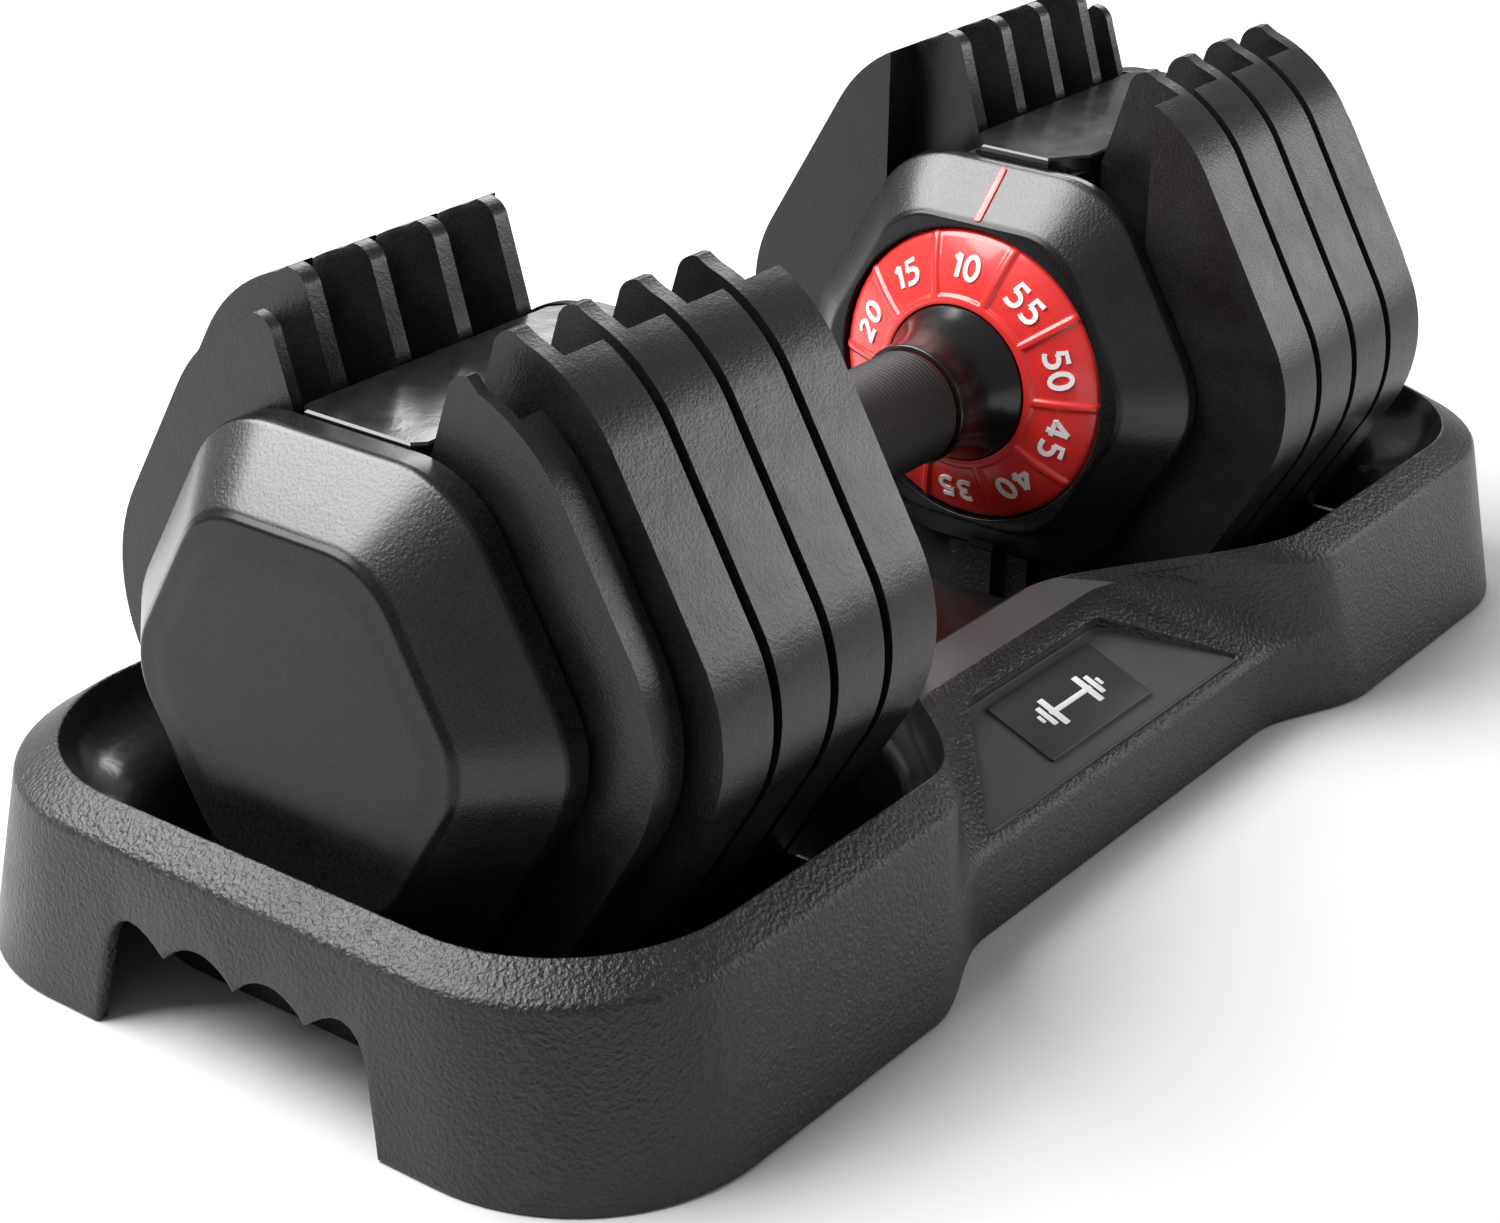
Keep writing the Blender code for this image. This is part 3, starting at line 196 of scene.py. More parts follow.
floor_mesh = bpy.data.meshes.new("floor")
floor_half = 6.0
floor_shape = bmesh.new()
bmesh.ops.create_grid(floor_shape, x_segments=1, y_segments=1, size=floor_half)
floor_shape.to_mesh(floor_mesh)
floor_shape.free()
floor = bpy.data.objects.new("floor", floor_mesh)
bpy.context.scene.collection.objects.link(floor)
paper = Finish("paper", Roughness=0.9, Specular_IOR_Level=0.1)
paper.feed("Base Color", paper.mix(paper.noise(0.4), (0.57, 0.57, 0.575), (0.60, 0.60, 0.60)))
floor_mesh.materials.append(paper.material)


# ======================================== tray shell
# One black moulding: two wells joined by a narrower waist, a flared skirt and a sloped rim. It is
# grained outside, glossier in the wells and smoother in the recessed panels. The wells' inside has a
# lighter base than the outside, painted fill light for their shade, and the panels a grey base that
# is a painted sheen. It is lofted through level outlines, with the finger cutouts and the recesses
# cut afterwards.

MM = 0.001


def ease(value):
    value = min(max(value, 0.0), 1.0)
    return value * value * (3 - 2 * value)


def arc(centre, radius, start, end, steps):
    turns = [math.radians(start + (end - start) * step / steps) for step in range(steps + 1)]
    return [(centre[0] + radius * math.cos(t), centre[1] + radius * math.sin(t)) for t in turns]


def softened(levels, cuts, steps=4):
    """Levels with their inner corners rounded: each level is a row of numbers, each cut a length in
    the units of the first two numbers."""
    made = [levels[0]]
    for index in range(1, len(levels) - 1):
        before, here, after = levels[index - 1], levels[index], levels[index + 1]
        cut_length = cuts[index]
        if not cut_length:
            made.append(here)
            continue
        first = min(cut_length / math.dist(before[:2], here[:2]), 0.48)
        last = min(cut_length / math.dist(after[:2], here[:2]), 0.48)
        start = [h + (b - h) * first for h, b in zip(here, before)]
        end = [h + (a - h) * last for h, a in zip(here, after)]
        for step in range(steps + 1):
            t = step / steps
            made.append(tuple((1 - t) ** 2 * s + 2 * t * (1 - t) * h + t * t * e
                              for s, h, e in zip(start, here, end)))
    made.append(levels[-1])
    return made


def loft(name, loops, closed=False, ends=None, tags=None):
    """Smooth quad mesh through loops. ends closes the first and last loop; tags is a material index
    for each band between loops."""
    mesh = bpy.data.meshes.new(name)
    shape = bmesh.new()
    rows = [[shape.verts.new(point) for point in loop] for loop in loops]
    bands = list(zip(rows, rows[1:] + rows[:1])) if closed else list(zip(rows, rows[1:]))
    for band, (row, following) in enumerate(bands):
        for index in range(len(row)):
            after = (index + 1) % len(row)
            face = shape.faces.new((row[index], row[after], following[after], following[index]))
            face.material_index = tags[band] if tags else 0
    if not closed:
        for end, tag in ((rows[0], 0), (rows[-1], -1)):
            if ends:
                ends(shape, end, tags[tag] if tags else 0)
            else:
                shape.faces.new(end).material_index = tags[tag] if tags else 0
    bmesh.ops.recalc_face_normals(shape, faces=shape.faces)
    shape.to_mesh(mesh)
    shape.free()
    mesh.shade_smooth()
    return mesh


def strips_across(shape, loop, tag):
    """Close a loop that is symmetric about y = 0 and starts at its +Y point at x = 0."""
    half = len(loop) // 2
    for run in (loop[:half + 1], [loop[0]] + loop[:half - 1:-1]):
        for first in range(len(run) // 2 - 1):
            last = len(run) - 1 - first
            face = shape.faces.new((run[first], run[first + 1], run[last - 1], run[last]))
            face.material_index = tag


def combined(mesh, others, operation):
    """The mesh with others taken out of it or joined to it."""
    for other in others:
        solid = bpy.data.objects.new("solid", mesh)
        tool = bpy.data.objects.new("tool", other)
        for item in (solid, tool):
            bpy.context.scene.collection.objects.link(item)
        modifier = solid.modifiers.new("combine", "BOOLEAN")
        modifier.operation = operation
        modifier.solver = "EXACT"
        modifier.object = tool
        modifier.material_mode = "INDEX"
        bpy.context.view_layer.update()
        depsgraph = bpy.context.evaluated_depsgraph_get()
        mesh = bpy.data.meshes.new_from_object(solid.evaluated_get(depsgraph))
        for item in (solid, tool):
            bpy.data.objects.remove(item)
    return mesh


def add_piece(name, mesh, body, finishes, nodes, half_turn=False, at=(0.0, 0.0, 0.0)):
    """Object that rides on a body and stands for CAD nodes, turned half round for the near end."""
    made = bpy.data.objects.new(name, mesh)
    bpy.context.scene.collection.objects.link(made)
    made.location = at
    if half_turn:
        made.rotation_euler = (0.0, 0.0, math.pi)
    if not len(mesh.materials):
        for finish in finishes:
            mesh.materials.append(finish.material)
    bpy.context.view_layer.update()
    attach(made, body)
    if nodes:
        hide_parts(*nodes)
    return made


def edge_softening(made, width, segments=3, angle=30.0):
    bevel = made.modifiers.new("edges", "BEVEL")
    bevel.width = width
    bevel.segments = segments
    bevel.limit_method = "ANGLE"
    bevel.angle_limit = math.radians(angle)
    bevel.harden_normals = True
    bevel.use_clamp_overlap = True


def tray_loop(length, height, width, corner, waist_width, waist_height, sweep_start, sweep_end):
    """One level: wells of that half length and width, narrowing to the waist between the sweeps."""
    sweep_steps = 30
    quarter = [(sweep_start * part / 6, waist_width, waist_height) for part in range(6)]
    for part in range(sweep_steps + 1):
        x = sweep_start + (sweep_end - sweep_start) * part / sweep_steps
        blend = ease(part / sweep_steps)
        quarter.append((x, waist_width + (width - waist_width) * blend,
                        waist_height + (height - waist_height) * blend))
    straight = length - corner
    quarter += [(sweep_end + (straight - sweep_end) * part / 6, width, height) for part in range(1, 6)]
    quarter += [(x, y, height) for x, y in arc((straight, width - corner), corner, 90, 0, 18)]
    quarter += [(length, (width - corner) * (1 - part / 4), height) for part in (1, 2, 3)]
    far = quarter + [(length - 1e-6, 0.0, height)] + [(x, -y, z) for x, y, z in reversed(quarter)]
    near = [(-x, y, z) for x, y, z in reversed(far[1:-1])]
    return [Vector(point) for point in far + near]


tray_low, tray_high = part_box("tray_shell")
rim_z = tray_high[2]
foot_x, foot_y = tray_high[0], tray_high[1]
end_slope, side_slope = 3.3 * MM, 7.6 * MM
ridge_x, ridge_y, ridge_z = foot_x - end_slope, foot_y - side_slope, rim_z - 6.0 * MM
rim_x, rim_y = ridge_x - 8.9 * MM, ridge_y - 7.8 * MM
lift = tray_low[2]
shoulder = 22.7 * MM
shoulder_x = foot_x - end_slope * shoulder / ridge_z
shoulder_y = foot_y - side_slope * shoulder / ridge_z
saddle = 29.5 * MM
wall, slope_wall = 3.0 * MM, 7.4 * MM
slope_top_y, slope_top_z, slope_bottom_y, waist_foot_y = 58.3 * MM, 41.4 * MM, 92.3 * MM, 93.5 * MM
tray_levels = [
    (rim_x - 17.6 * MM, 3.2 * MM, rim_y - 21.6 * MM, 30 * MM, 26 * MM, saddle, 40 * MM, 67 * MM),
    (rim_x - 17 * MM, 14 * MM, rim_y - 20.5 * MM, 30 * MM, 34 * MM, saddle + 2 * MM, 36 * MM, 73 * MM),
    (rim_x - 13.5 * MM, 33 * MM, rim_y - 16.5 * MM, 33 * MM, 40 * MM, saddle + 5 * MM, 31 * MM, 79 * MM),
    (rim_x - 2.5 * MM, 42 * MM, rim_y - 3.5 * MM, 42 * MM, 43 * MM, saddle + 10.5 * MM, 25 * MM, 84 * MM),
    (rim_x, rim_z, rim_y, 44 * MM, 44.5 * MM, 44 * MM, 22 * MM, 88 * MM),
    (ridge_x, ridge_z, ridge_y, 48 * MM, slope_top_y, slope_top_z, 38 * MM, 92 * MM),
    (shoulder_x, shoulder, shoulder_y, 47.5 * MM, slope_bottom_y, shoulder, 62 * MM, 97 * MM),
    (foot_x, lift, foot_y, 47 * MM, waist_foot_y, lift, 66 * MM, 105 * MM),
    (foot_x - wall, lift, foot_y - wall, 44 * MM, waist_foot_y - wall, lift, 66 * MM, 105 * MM),
    (shoulder_x - wall, shoulder - wall, shoulder_y - wall, 44 * MM, slope_bottom_y - wall,
     shoulder - slope_wall, 62 * MM, 98 * MM),
    (ridge_x - wall, ridge_z - wall, ridge_y - wall, 44 * MM, slope_top_y - MM, slope_top_z - slope_wall,
     36 * MM, 93 * MM),
    (rim_x + 1.2 * MM, rim_z - wall, rim_y + 1.2 * MM, 44 * MM, 47.5 * MM, 41 * MM, 24 * MM, 89 * MM),
    (rim_x + 0.1 * MM, 40.3 * MM, rim_y - 0.9 * MM, 44 * MM, 45.5 * MM, saddle + 8 * MM, 26 * MM, 83 * MM),
    (rim_x - 10.75 * MM, 31.4 * MM, rim_y - 13.75 * MM, 35.5 * MM, 42.5 * MM, saddle + 2.5 * MM, 30 * MM,
     77 * MM),
    (rim_x - 14 * MM, 13.5 * MM, rim_y - 17.5 * MM, 33 * MM, 37 * MM, saddle - MM, 34 * MM, 70 * MM),
    (rim_x - 16 * MM, 0.8 * MM, rim_y - 20 * MM, 31 * MM, 28 * MM, saddle - 2.4 * MM, 38 * MM, 64 * MM),
]
tray_cuts = [0, 3 * MM, 6 * MM, 5 * MM, 0.8 * MM, 1.5 * MM, 2.2 * MM, 0.7 * MM] + [0] * 8
rounded = softened(tray_levels, tray_cuts, 5)
OUTSIDE, INSIDE, PANEL = 0, 1, 2
inside_bands = 19
tray_tags = [INSIDE if number < inside_bands else OUTSIDE for number in range(len(rounded))]
tray_mesh = loft("tray", [tray_loop(*level) for level in rounded], ends=strips_across, tags=tray_tags)

slope_top = Vector((0.0, -slope_top_y, slope_top_z))
slope_bottom = Vector((0.0, -slope_bottom_y, shoulder))
downhill = (slope_bottom - slope_top).normalized()
uphill_normal = Vector((0.0, downhill.z, -downhill.y)).normalized()
slope_length = (slope_bottom - slope_top).length
panel_top, panel_bottom = 5.5 * MM, slope_length - 3 * MM
panel_depth_top, panel_depth_bottom = 4.6 * MM, 1.0 * MM


def corner_rounded(points, radius, steps=5):
    """Closed flat outline with every corner rounded off by about the radius."""
    made = []
    for index, here in enumerate(points):
        before, after = Vector(points[index - 1]), Vector(points[(index + 1) % len(points)])
        here = Vector(here)
        start = here + (before - here).normalized() * radius
        end = here + (after - here).normalized() * radius
        for step in range(steps + 1):
            t = step / steps
            point = start * (1 - t) ** 2 + here * 2 * t * (1 - t) + end * t * t
            made.append((point.x, point.y))
    return made


def on_slope(outline, lift_off, sunk=0.0):
    """Points from (across, downhill) pairs on the waist's sloped side at -Y. sunk is the share of
    the recessed panel's depth, which is greatest at its upper edge."""
    points = []
    for across, down in outline:
        share = (down - panel_top) / (panel_bottom - panel_top)
        depth = panel_depth_top + (panel_depth_bottom - panel_depth_top) * share
        points.append(slope_top + downhill * down + Vector((across, 0, 0))
                      + uphill_normal * (lift_off - sunk * depth))
    return points


def grown(points, distance):
    """Closed outline moved outwards from its own middle by a distance along its normals."""
    area = sum(a[0] * b[1] - b[0] * a[1] for a, b in zip(points, points[1:] + points[:1]))
    sign = 1.0 if area > 0 else -1.0
    made = []
    for index, (x, y) in enumerate(points):
        before, after = Vector(points[index - 1]), Vector(points[(index + 1) % len(points)])
        along = (after - before).normalized()
        made.append((x + sign * along.y * distance, y - sign * along.x * distance))
    return made


panel_half_top, panel_half_bottom = 30.5 * MM, 60 * MM
panel = corner_rounded([(-panel_half_top, panel_top), (panel_half_top, panel_top),
                        (panel_half_bottom, panel_bottom), (-panel_half_bottom, panel_bottom)], 3.5 * MM)
# Each row is millimetres outwards and off the slope, then the share of the panel's depth.
recess_rows = [(-0.8, 0.0, 1.0), (-0.3, 0.0, 0.96), (0.0, 0.0, 0.82), (0.15, -0.1, 0.2), (0.45, -0.05, 0.0),
               (1.2, 0.2, 0.0), (1.2, 5.0, 0.0)]
recess = loft("recess", [on_slope(grown(panel, out * MM), off * MM, sunk) for out, off, sunk in recess_rows])

cusp_height, scallop_pitch, scallop_rise, scallop_steps = 23.5 * MM, 21 * MM, 5.2 * MM, 14
side_wall = [(43.0, -6.0), (42.2, 0.0), (41.2, 6.0), (40.2, 11.0), (39.3, 16.0), (38.6, 20.0), (37.6, 23.5),
             (36.2, 26.0), (34.2, 27.8), (31.5, 28.7), (28.6, 28.2), (26.0, 27.0), (23.6, 25.4)]
arch = [(y * MM, z * MM) for y, z in side_wall]
for part in range(2 * scallop_steps):
    along = part / scallop_steps
    bulge = abs(math.sin(math.pi * along)) ** 0.8
    arch.append((scallop_pitch * (1 - along), cusp_height + scallop_rise * bulge))
arch.append((-scallop_pitch, cusp_height))
arch += [(-y * MM, z * MM) for y, z in reversed(side_wall)]


def through_end(outline, inset):
    """The cutout's outline at a distance outside the sloping end wall."""
    return [Vector((foot_x - end_slope * max(z, 0.0) / ridge_z + inset, y, z)) for y, z in outline]


arch_rows = [(0.0, -14.0), (0.0, -0.9), (0.2, -0.45), (0.55, -0.12), (1.1, 0.08), (1.1, 6.0)]
finger = loft("finger", [through_end(grown(arch, out * MM), inset * MM) for out, inset in arch_rows])


def half_turned(mesh):
    copy = mesh.copy()
    copy.transform(Matrix.Rotation(math.pi, 4, "Z"))
    return copy


tray_mesh = combined(tray_mesh, [recess, half_turned(recess), finger, half_turned(finger)], "DIFFERENCE")
shallowest, deepest, alike = 0.6 * MM, 5.2 * MM, 0.9
for face in tray_mesh.polygons:
    facing = Vector((0.0, math.copysign(uphill_normal.y, face.center.y), uphill_normal.z))
    below = (slope_top - Vector((0.0, -abs(face.center.y), face.center.z))).dot(uphill_normal)
    on_panel = abs(face.center.x) < panel_half_bottom and face.normal.dot(facing) > alike
    if on_panel and shallowest < below < deepest:
        face.material_index = PANEL
tray_mesh.set_sharp_from_angle(angle=math.radians(38))


def moulded(name, dark, light, grain, depth, low, high):
    """Black moulded plastic with a spark-eroded grain; roughness runs between low and high."""
    finish = Finish(name, Specular_IOR_Level=0.5)
    cells = finish.add("TexVoronoi", {"feature": "SMOOTH_F1"},
                       {"Vector": finish.place(), "Scale": 1.0 / grain, "Smoothness": 0.6})
    fine = finish.noise(grain * 0.8, 3.0, 0.6)
    broad = finish.noise(0.035, 3.0)
    finish.feed("Base Color", finish.mix(finish.step(fine + broad * 0.6, 0.55, 1.05), dark, light))
    finish.feed("Roughness", finish.step(broad + fine * 0.25, 0.4, 0.8, low, high))
    finish.emboss((fine + cells * 0.5) * depth)
    return finish


tray_outside = moulded("tray_outside", (0.004, 0.004, 0.0042), (0.011, 0.011, 0.0115), 1.2 * MM, 0.42 * MM,
                       0.30, 0.40)
# Painted fill light: the wells' inside has a lighter base than the outside, to brighten their shade.
tray_inside_painted_light = moulded("tray_inside_painted_light", (0.012, 0.012, 0.0122), (0.018, 0.018, 0.0185), 2.4 * MM, 0.03 * MM,
                      0.14, 0.22)
# Painted sheen: the panels' grey base stands in for light glancing off the same black plastic.
tray_panel_painted_sheen = moulded("tray_panel_painted_sheen", (0.048, 0.048, 0.049), (0.062, 0.062, 0.063), 0.7 * MM, 0.05 * MM,
                     0.30, 0.38)
add_piece("tray", tray_mesh, "tray", [tray_outside, tray_inside_painted_light, tray_panel_painted_sheen], ["tray_shell"])


# ======================================== labels
# A dark grey label lies in the recessed panel on each long side. It shows a plain pictogram of a
# dumbbell in light raised print.

label_half, label_height = 23.5 * MM, 21 * MM
label_middle = (panel_top + panel_bottom) / 2 - 1.5 * MM


def label_plate(half, height, low, high, across=0.0, corner=1.0 * MM):
    """Thin slab on the leaning panel, from low to high above it."""
    top, bottom = label_middle - height / 2, label_middle + height / 2
    outline = corner_rounded([(across - half, top), (across + half, top), (across + half, bottom),
                              (across - half, bottom)], corner, 4)
    return loft("label", [on_slope(outline, low, 1.0), on_slope(outline, high - 0.08 * MM, 1.0),
                          on_slope(grown(outline, -0.12 * MM), high, 1.0)])


label_gray = Finish("label_gray", Specular_IOR_Level=0.45)
print_grain = label_gray.noise(0.3 * MM, 2.0)
label_gray.feed("Base Color", label_gray.mix(print_grain, (0.020, 0.0205, 0.021), (0.028, 0.0285, 0.029)))
label_gray.feed("Roughness", label_gray.step(print_grain, 0.2, 0.8, 0.42, 0.52))
label_white = Finish("label_white", Roughness=0.45)
print_white = label_white.mix(label_white.noise(0.4 * MM), (0.62, 0.62, 0.62), (0.72, 0.72, 0.72))
label_white.feed("Base Color", print_white)

for label_name, half_round in (("label_front", False), ("label_back", True)):
    plate = label_plate(label_half, label_height, 0.1 * MM, 0.9 * MM)
    plate = half_turned(plate) if half_round else plate
    plate.set_sharp_from_angle(angle=math.radians(38))
    add_piece(label_name + "_plate", plate, "tray", [label_gray], [label_name])
    for number, (across, half, height) in enumerate((
            (0.0, 9.5, 1.5), (-8.0, 1.2, 9.4), (8.0, 1.2, 9.4), (-11.2, 1.0, 6.4), (11.2, 1.0, 6.4),
            (-13.6, 0.7, 2.4), (13.6, 0.7, 2.4))):
        bar = label_plate(half * MM, height * MM, 0.91 * MM, 1.0 * MM + 0.02 * MM * (number > 0),
                          across * MM, 0.35 * MM)
        bar = half_turned(bar) if half_round else bar
        add_piece(f"{label_name}_bar_{number}", bar, "tray", [label_white], [])


# ======================================== racks, cradles and feet
# The ribs that part the plates and the cradles under the housings are moulded in the tray's own
# plastic. Four rubber discs hold it off the floor. These CAD nodes stay, with softened edges.

foot_rubber = moulded("foot_rubber", (0.012, 0.012, 0.012), (0.022, 0.022, 0.022), 0.5 * MM, 0.05 * MM,
                      0.7, 0.85)


def refinish(node, finish, bevel=0.0, angle=30.0):
    """Carry a CAD node over with a better finish and, if its edges show, a small bevel."""
    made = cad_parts[node]
    for place in made.material_slots:
        place.material = finish.material
    if bevel:
        edge_softening(made, bevel, 2, angle)


for end in ("near", "far"):
    refinish(f"rack_{end}", tray_outside, 0.35 * MM)
    refinish(f"cradle_{end}", tray_outside, 0.35 * MM)
for number in (1, 2, 3, 4):
    refinish(f"foot_{number}", foot_rubber, 0.3 * MM, 50.0)


# ======================================== plates
# Cast iron plates with a satin black coating, four large and one small at each end. Each is a
# rounded hexagon, open at the top for the core and thinned to a web beside it, with a lug at the
# bottom of its slot that the selector disc catches. Their edges are softly broken.

axis_z = (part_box("grip_sleeve")[0][2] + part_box("grip_sleeve")[1][2]) / 2
plate_rise = 3 * MM
slot_half, slot_floor, slot_corner, flare_start = 19.3 * MM, 26 * MM, 7 * MM, 56 * MM
tip_r, flare_slope = 5.5 * MM, 0.25
pocket_half, pocket_outer, pocket_low, pocket_foot = 28 * MM, 41 * MM, 21.5 * MM, 27.5 * MM
lug_half, lug_top, lug_bottom = 5 * MM, 15 * MM, 18.7 * MM


def hexagon(apothem, corner, middle=0.0, steps=14):
    """Rounded hexagon with flat top and bottom, as (y, z) about the handle's axis."""
    reach = (apothem - corner) / math.cos(math.radians(30))
    points = []
    for side in range(6):
        turn = 60 * side
        centre = (reach * math.cos(math.radians(turn)), middle + reach * math.sin(math.radians(turn)))
        points += arc(centre, corner, turn - 30, turn + 30, steps)
    return points


def prism(outline, low, high):
    return loft("prism", [[Vector((x, y, axis_z + z)) for y, z in outline] for x in (low, high)])


def plate_mesh(apothem, corner, thick, web):
    """Casting from its outer face at x = 0: the slot, the pocket beside it and the lug below it."""
    top = apothem + plate_rise
    tip_half = slot_half + (top - flare_start) * flare_slope
    tip = arc((tip_half + tip_r, top - tip_r), tip_r, 90, 172, 7)
    inner = tip + [(slot_half, flare_start)]
    inner += arc((slot_half - slot_corner, slot_corner - slot_floor), slot_corner, 0, -90, 7)
    inner += [(lug_half, -slot_floor), (lug_half, -lug_top)]
    outer = hexagon(apothem, corner, plate_rise)
    lower = sorted((p for p in outer if p[0] >= -1e-7 and p[1] <= plate_rise),
                   key=lambda p: p[1] - p[0] * 1e-3)
    upper = sorted((p for p in outer if p[0] > tip[0][0] + 0.5 * MM and p[1] > plate_rise),
                   key=lambda p: p[1] - p[0] * 1e-3)
    half = lower + upper + inner
    outline = half + [(-y, z) for y, z in reversed(half) if y > 1e-6]
    solid = prism(outline, 0.0, thick)
    step = pocket_half + 0.4 * (pocket_outer - pocket_half)
    pocket = [(pocket_half - 6 * MM, -pocket_foot), (pocket_half, -pocket_low), (pocket_half, 13 * MM),
              (step, 18 * MM), (pocket_outer, 27 * MM), (pocket_outer, top + 10 * MM)]
    pocket += [(-y, z) for y, z in reversed(pocket)]
    solid = combined(solid, [prism(pocket, -10 * MM, thick - web)], "DIFFERENCE")
    lug_side, lug_under, lug_length = lug_half - 0.1 * MM, -lug_top - 0.1 * MM, 4.2 * MM
    lug = prism([(-lug_side, -lug_bottom), (lug_side, -lug_bottom), (lug_side, lug_under),
                 (-lug_side, lug_under)], thick - web - lug_length, thick - 0.5 * web)
    return combined(solid, [lug], "UNION")


coated_iron = Finish("coated_iron", Specular_IOR_Level=0.42)
iron_fine = coated_iron.noise(0.8 * MM, 3.0, 0.6)
iron_broad = coated_iron.noise(0.03, 4.0, 0.6)
coated_iron.feed("Base Color", coated_iron.mix(coated_iron.step(iron_fine * 0.6 + iron_broad, 0.55, 1.1),
                                               (0.005, 0.005, 0.0052), (0.013, 0.013, 0.0135)))
coated_iron.feed("Roughness", coated_iron.step(iron_broad + iron_fine * 0.2, 0.4, 0.85, 0.27, 0.38))
coated_iron.emboss(iron_fine * (0.10 * MM) + iron_broad * (0.5 * MM))

plate_meshes = {}
for end in ("near", "far"):
    for number in range(1, 6):
        low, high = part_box(f"plate_far_{number}")
        large = number < 5
        key = "large" if large else "small"
        if key not in plate_meshes:
            web = (4.6 if large else 3.0) * MM
            plate_meshes[key] = plate_mesh((79.5 if large else 73.0) * MM, (40.0 if large else 44.0) * MM,
                                           high[0] - low[0], web)
            plate_meshes[key].shade_smooth()
        sign = 1 if end == "far" else -1
        node = f"plate_{end}_{number}"
        made = add_piece(f"{node}_casting", plate_meshes[key], node, [coated_iron], [node],
                         end == "near", (sign * low[0], 0.0, 0.0))
        edge_softening(made, (1.1 if large else 2.2) * MM, 4, 28.0)


# ======================================== cores and lids
# The core is a black nylon channel that hangs in the plates' slots, with a window for each disc.
# A smooth glossy lid with chamfered corners closes it on top.

core_black = moulded("core_black", (0.006, 0.006, 0.006), (0.012, 0.012, 0.0125), 0.8 * MM, 0.08 * MM,
                     0.42, 0.55)
lid_gloss = moulded("lid_gloss", (0.005, 0.005, 0.0052), (0.009, 0.009, 0.0095), 6 * MM, 0.05 * MM,
                    0.12, 0.2)
for end in ("near", "far"):
    refinish(f"core_{end}", core_black, 0.3 * MM, 40.0)
    refinish(f"core_lid_{end}", lid_gloss, 0.7 * MM, 25.0)


# ======================================== inner housings and indicators
# A flared hexagonal shell of grained black nylon stands round each dial, with a smooth rim and
# face. A thin red bar in its top flank points at the number chosen.

def ring(x, apothem, corner, sides=144):
    """Rounded hexagon sampled at even angles; a corner radius close to the apothem makes a circle."""
    reach = (apothem - corner) / math.cos(math.radians(30))
    tangent = math.atan2(corner * 0.5, reach + corner * math.cos(math.radians(30)))
    points = []
    for index in range(sides):
        turn = math.tau * index / sides
        off = (turn + math.radians(30)) % math.radians(60) - math.radians(30)
        if abs(off) < tangent:
            radius = reach * math.cos(off) + math.sqrt(corner ** 2 - (reach * math.sin(off)) ** 2)
        else:
            radius = apothem / math.cos(math.radians(30) - abs(off))
        points.append(Vector((x, radius * math.cos(turn), axis_z + radius * math.sin(turn))))
    return points


housing_low, housing_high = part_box("inner_housing_far")
face_x, back_x = housing_low[0], housing_high[0]
flank_x = back_x - 3.4 * MM
housing_apothem = (housing_high[2] - housing_low[2]) / 2
face_apothem, bore_r, hub_hole_r = 42.3 * MM, 41.0 * MM, 13 * MM
base_corner, shell_wall, nearly = 26.5 * MM, 2.6 * MM, 0.01 * MM
inner_corner = base_corner - shell_wall
bore_x, bore_back_x = face_x + 5.7 * MM, face_x + 8.3 * MM
housing_levels = [
    (flank_x, housing_apothem - shell_wall, inner_corner),
    (back_x, housing_apothem - shell_wall, inner_corner),
    (back_x, housing_apothem, base_corner), (flank_x, housing_apothem, base_corner),
    (face_x, face_apothem, 19 * MM), (face_x, bore_r, bore_r - nearly), (bore_x, bore_r, bore_r - nearly),
    (bore_x, hub_hole_r, hub_hole_r - nearly), (bore_back_x, hub_hole_r, hub_hole_r - nearly),
    (bore_back_x, 45.2 * MM, 19 * MM),
]
housing_cuts = [0, 0.4 * MM, 0.5 * MM, 1.6 * MM, 0.45 * MM, 0.3 * MM, 0.3 * MM, 0.4 * MM, 0.4 * MM, 0]
housing_loops = [ring(*level) for level in softened(housing_levels, housing_cuts, 5)]
housing_mesh = loft("housing", housing_loops, closed=True)
housing_mesh.set_sharp_from_angle(angle=math.radians(40))


def grained_shell(name, smooth_from, smooth_to, tint=1.0):
    """Black nylon, pebbled between two distances from the middle and smooth outside them."""
    finish = Finish(name, Specular_IOR_Level=0.26, Coat_Roughness=0.27)
    distance = finish.axis("X", finish.place())
    fade = 0.5 * MM
    begins = finish.step(distance, smooth_from - fade, smooth_from + fade)
    grained = begins * finish.step(distance, smooth_to - fade, smooth_to + fade, 1.0, 0.0)
    fine = finish.noise(0.7 * MM, 3.0, 0.62)
    cells = finish.add("TexVoronoi", {"feature": "SMOOTH_F1"},
                       {"Vector": finish.place(), "Scale": 1.0 / (0.8 * MM), "Smoothness": 0.5})
    broad = finish.noise(0.03, 3.0)
    finish.feed("Base Color", finish.mix(finish.step(fine + broad * 0.5, 0.5, 1.0), (0.004, 0.004, 0.0042),
                                         (0.012 * tint, 0.012 * tint, 0.0125 * tint)))
    finish.feed("Roughness", finish.step(broad + fine * 0.2, 0.4, 0.8, 0.22, 0.29) + grained * 0.08)
    finish.feed("Coat Weight", grained * 0.7)
    finish.emboss((fine + cells * 0.5) * (grained * 0.2 + 0.01) * MM)
    return finish


housing_black = grained_shell("housing_black", face_x + 1.2 * MM, flank_x)
red_gloss = Finish("red_gloss", Specular_IOR_Level=0.5, Coat_Weight=0.35, Coat_Roughness=0.08)
red_broad = red_gloss.noise(0.02, 3.0)
red_fine = red_gloss.noise(0.5 * MM, 2.0)
red_gloss.feed("Base Color", red_gloss.mix(red_broad, (0.60, 0.022, 0.020), (0.72, 0.035, 0.030)))
red_gloss.feed("Roughness", red_gloss.step(red_broad + red_fine * 0.2, 0.4, 0.9, 0.26, 0.36))
red_gloss.emboss(red_fine * (0.012 * MM))

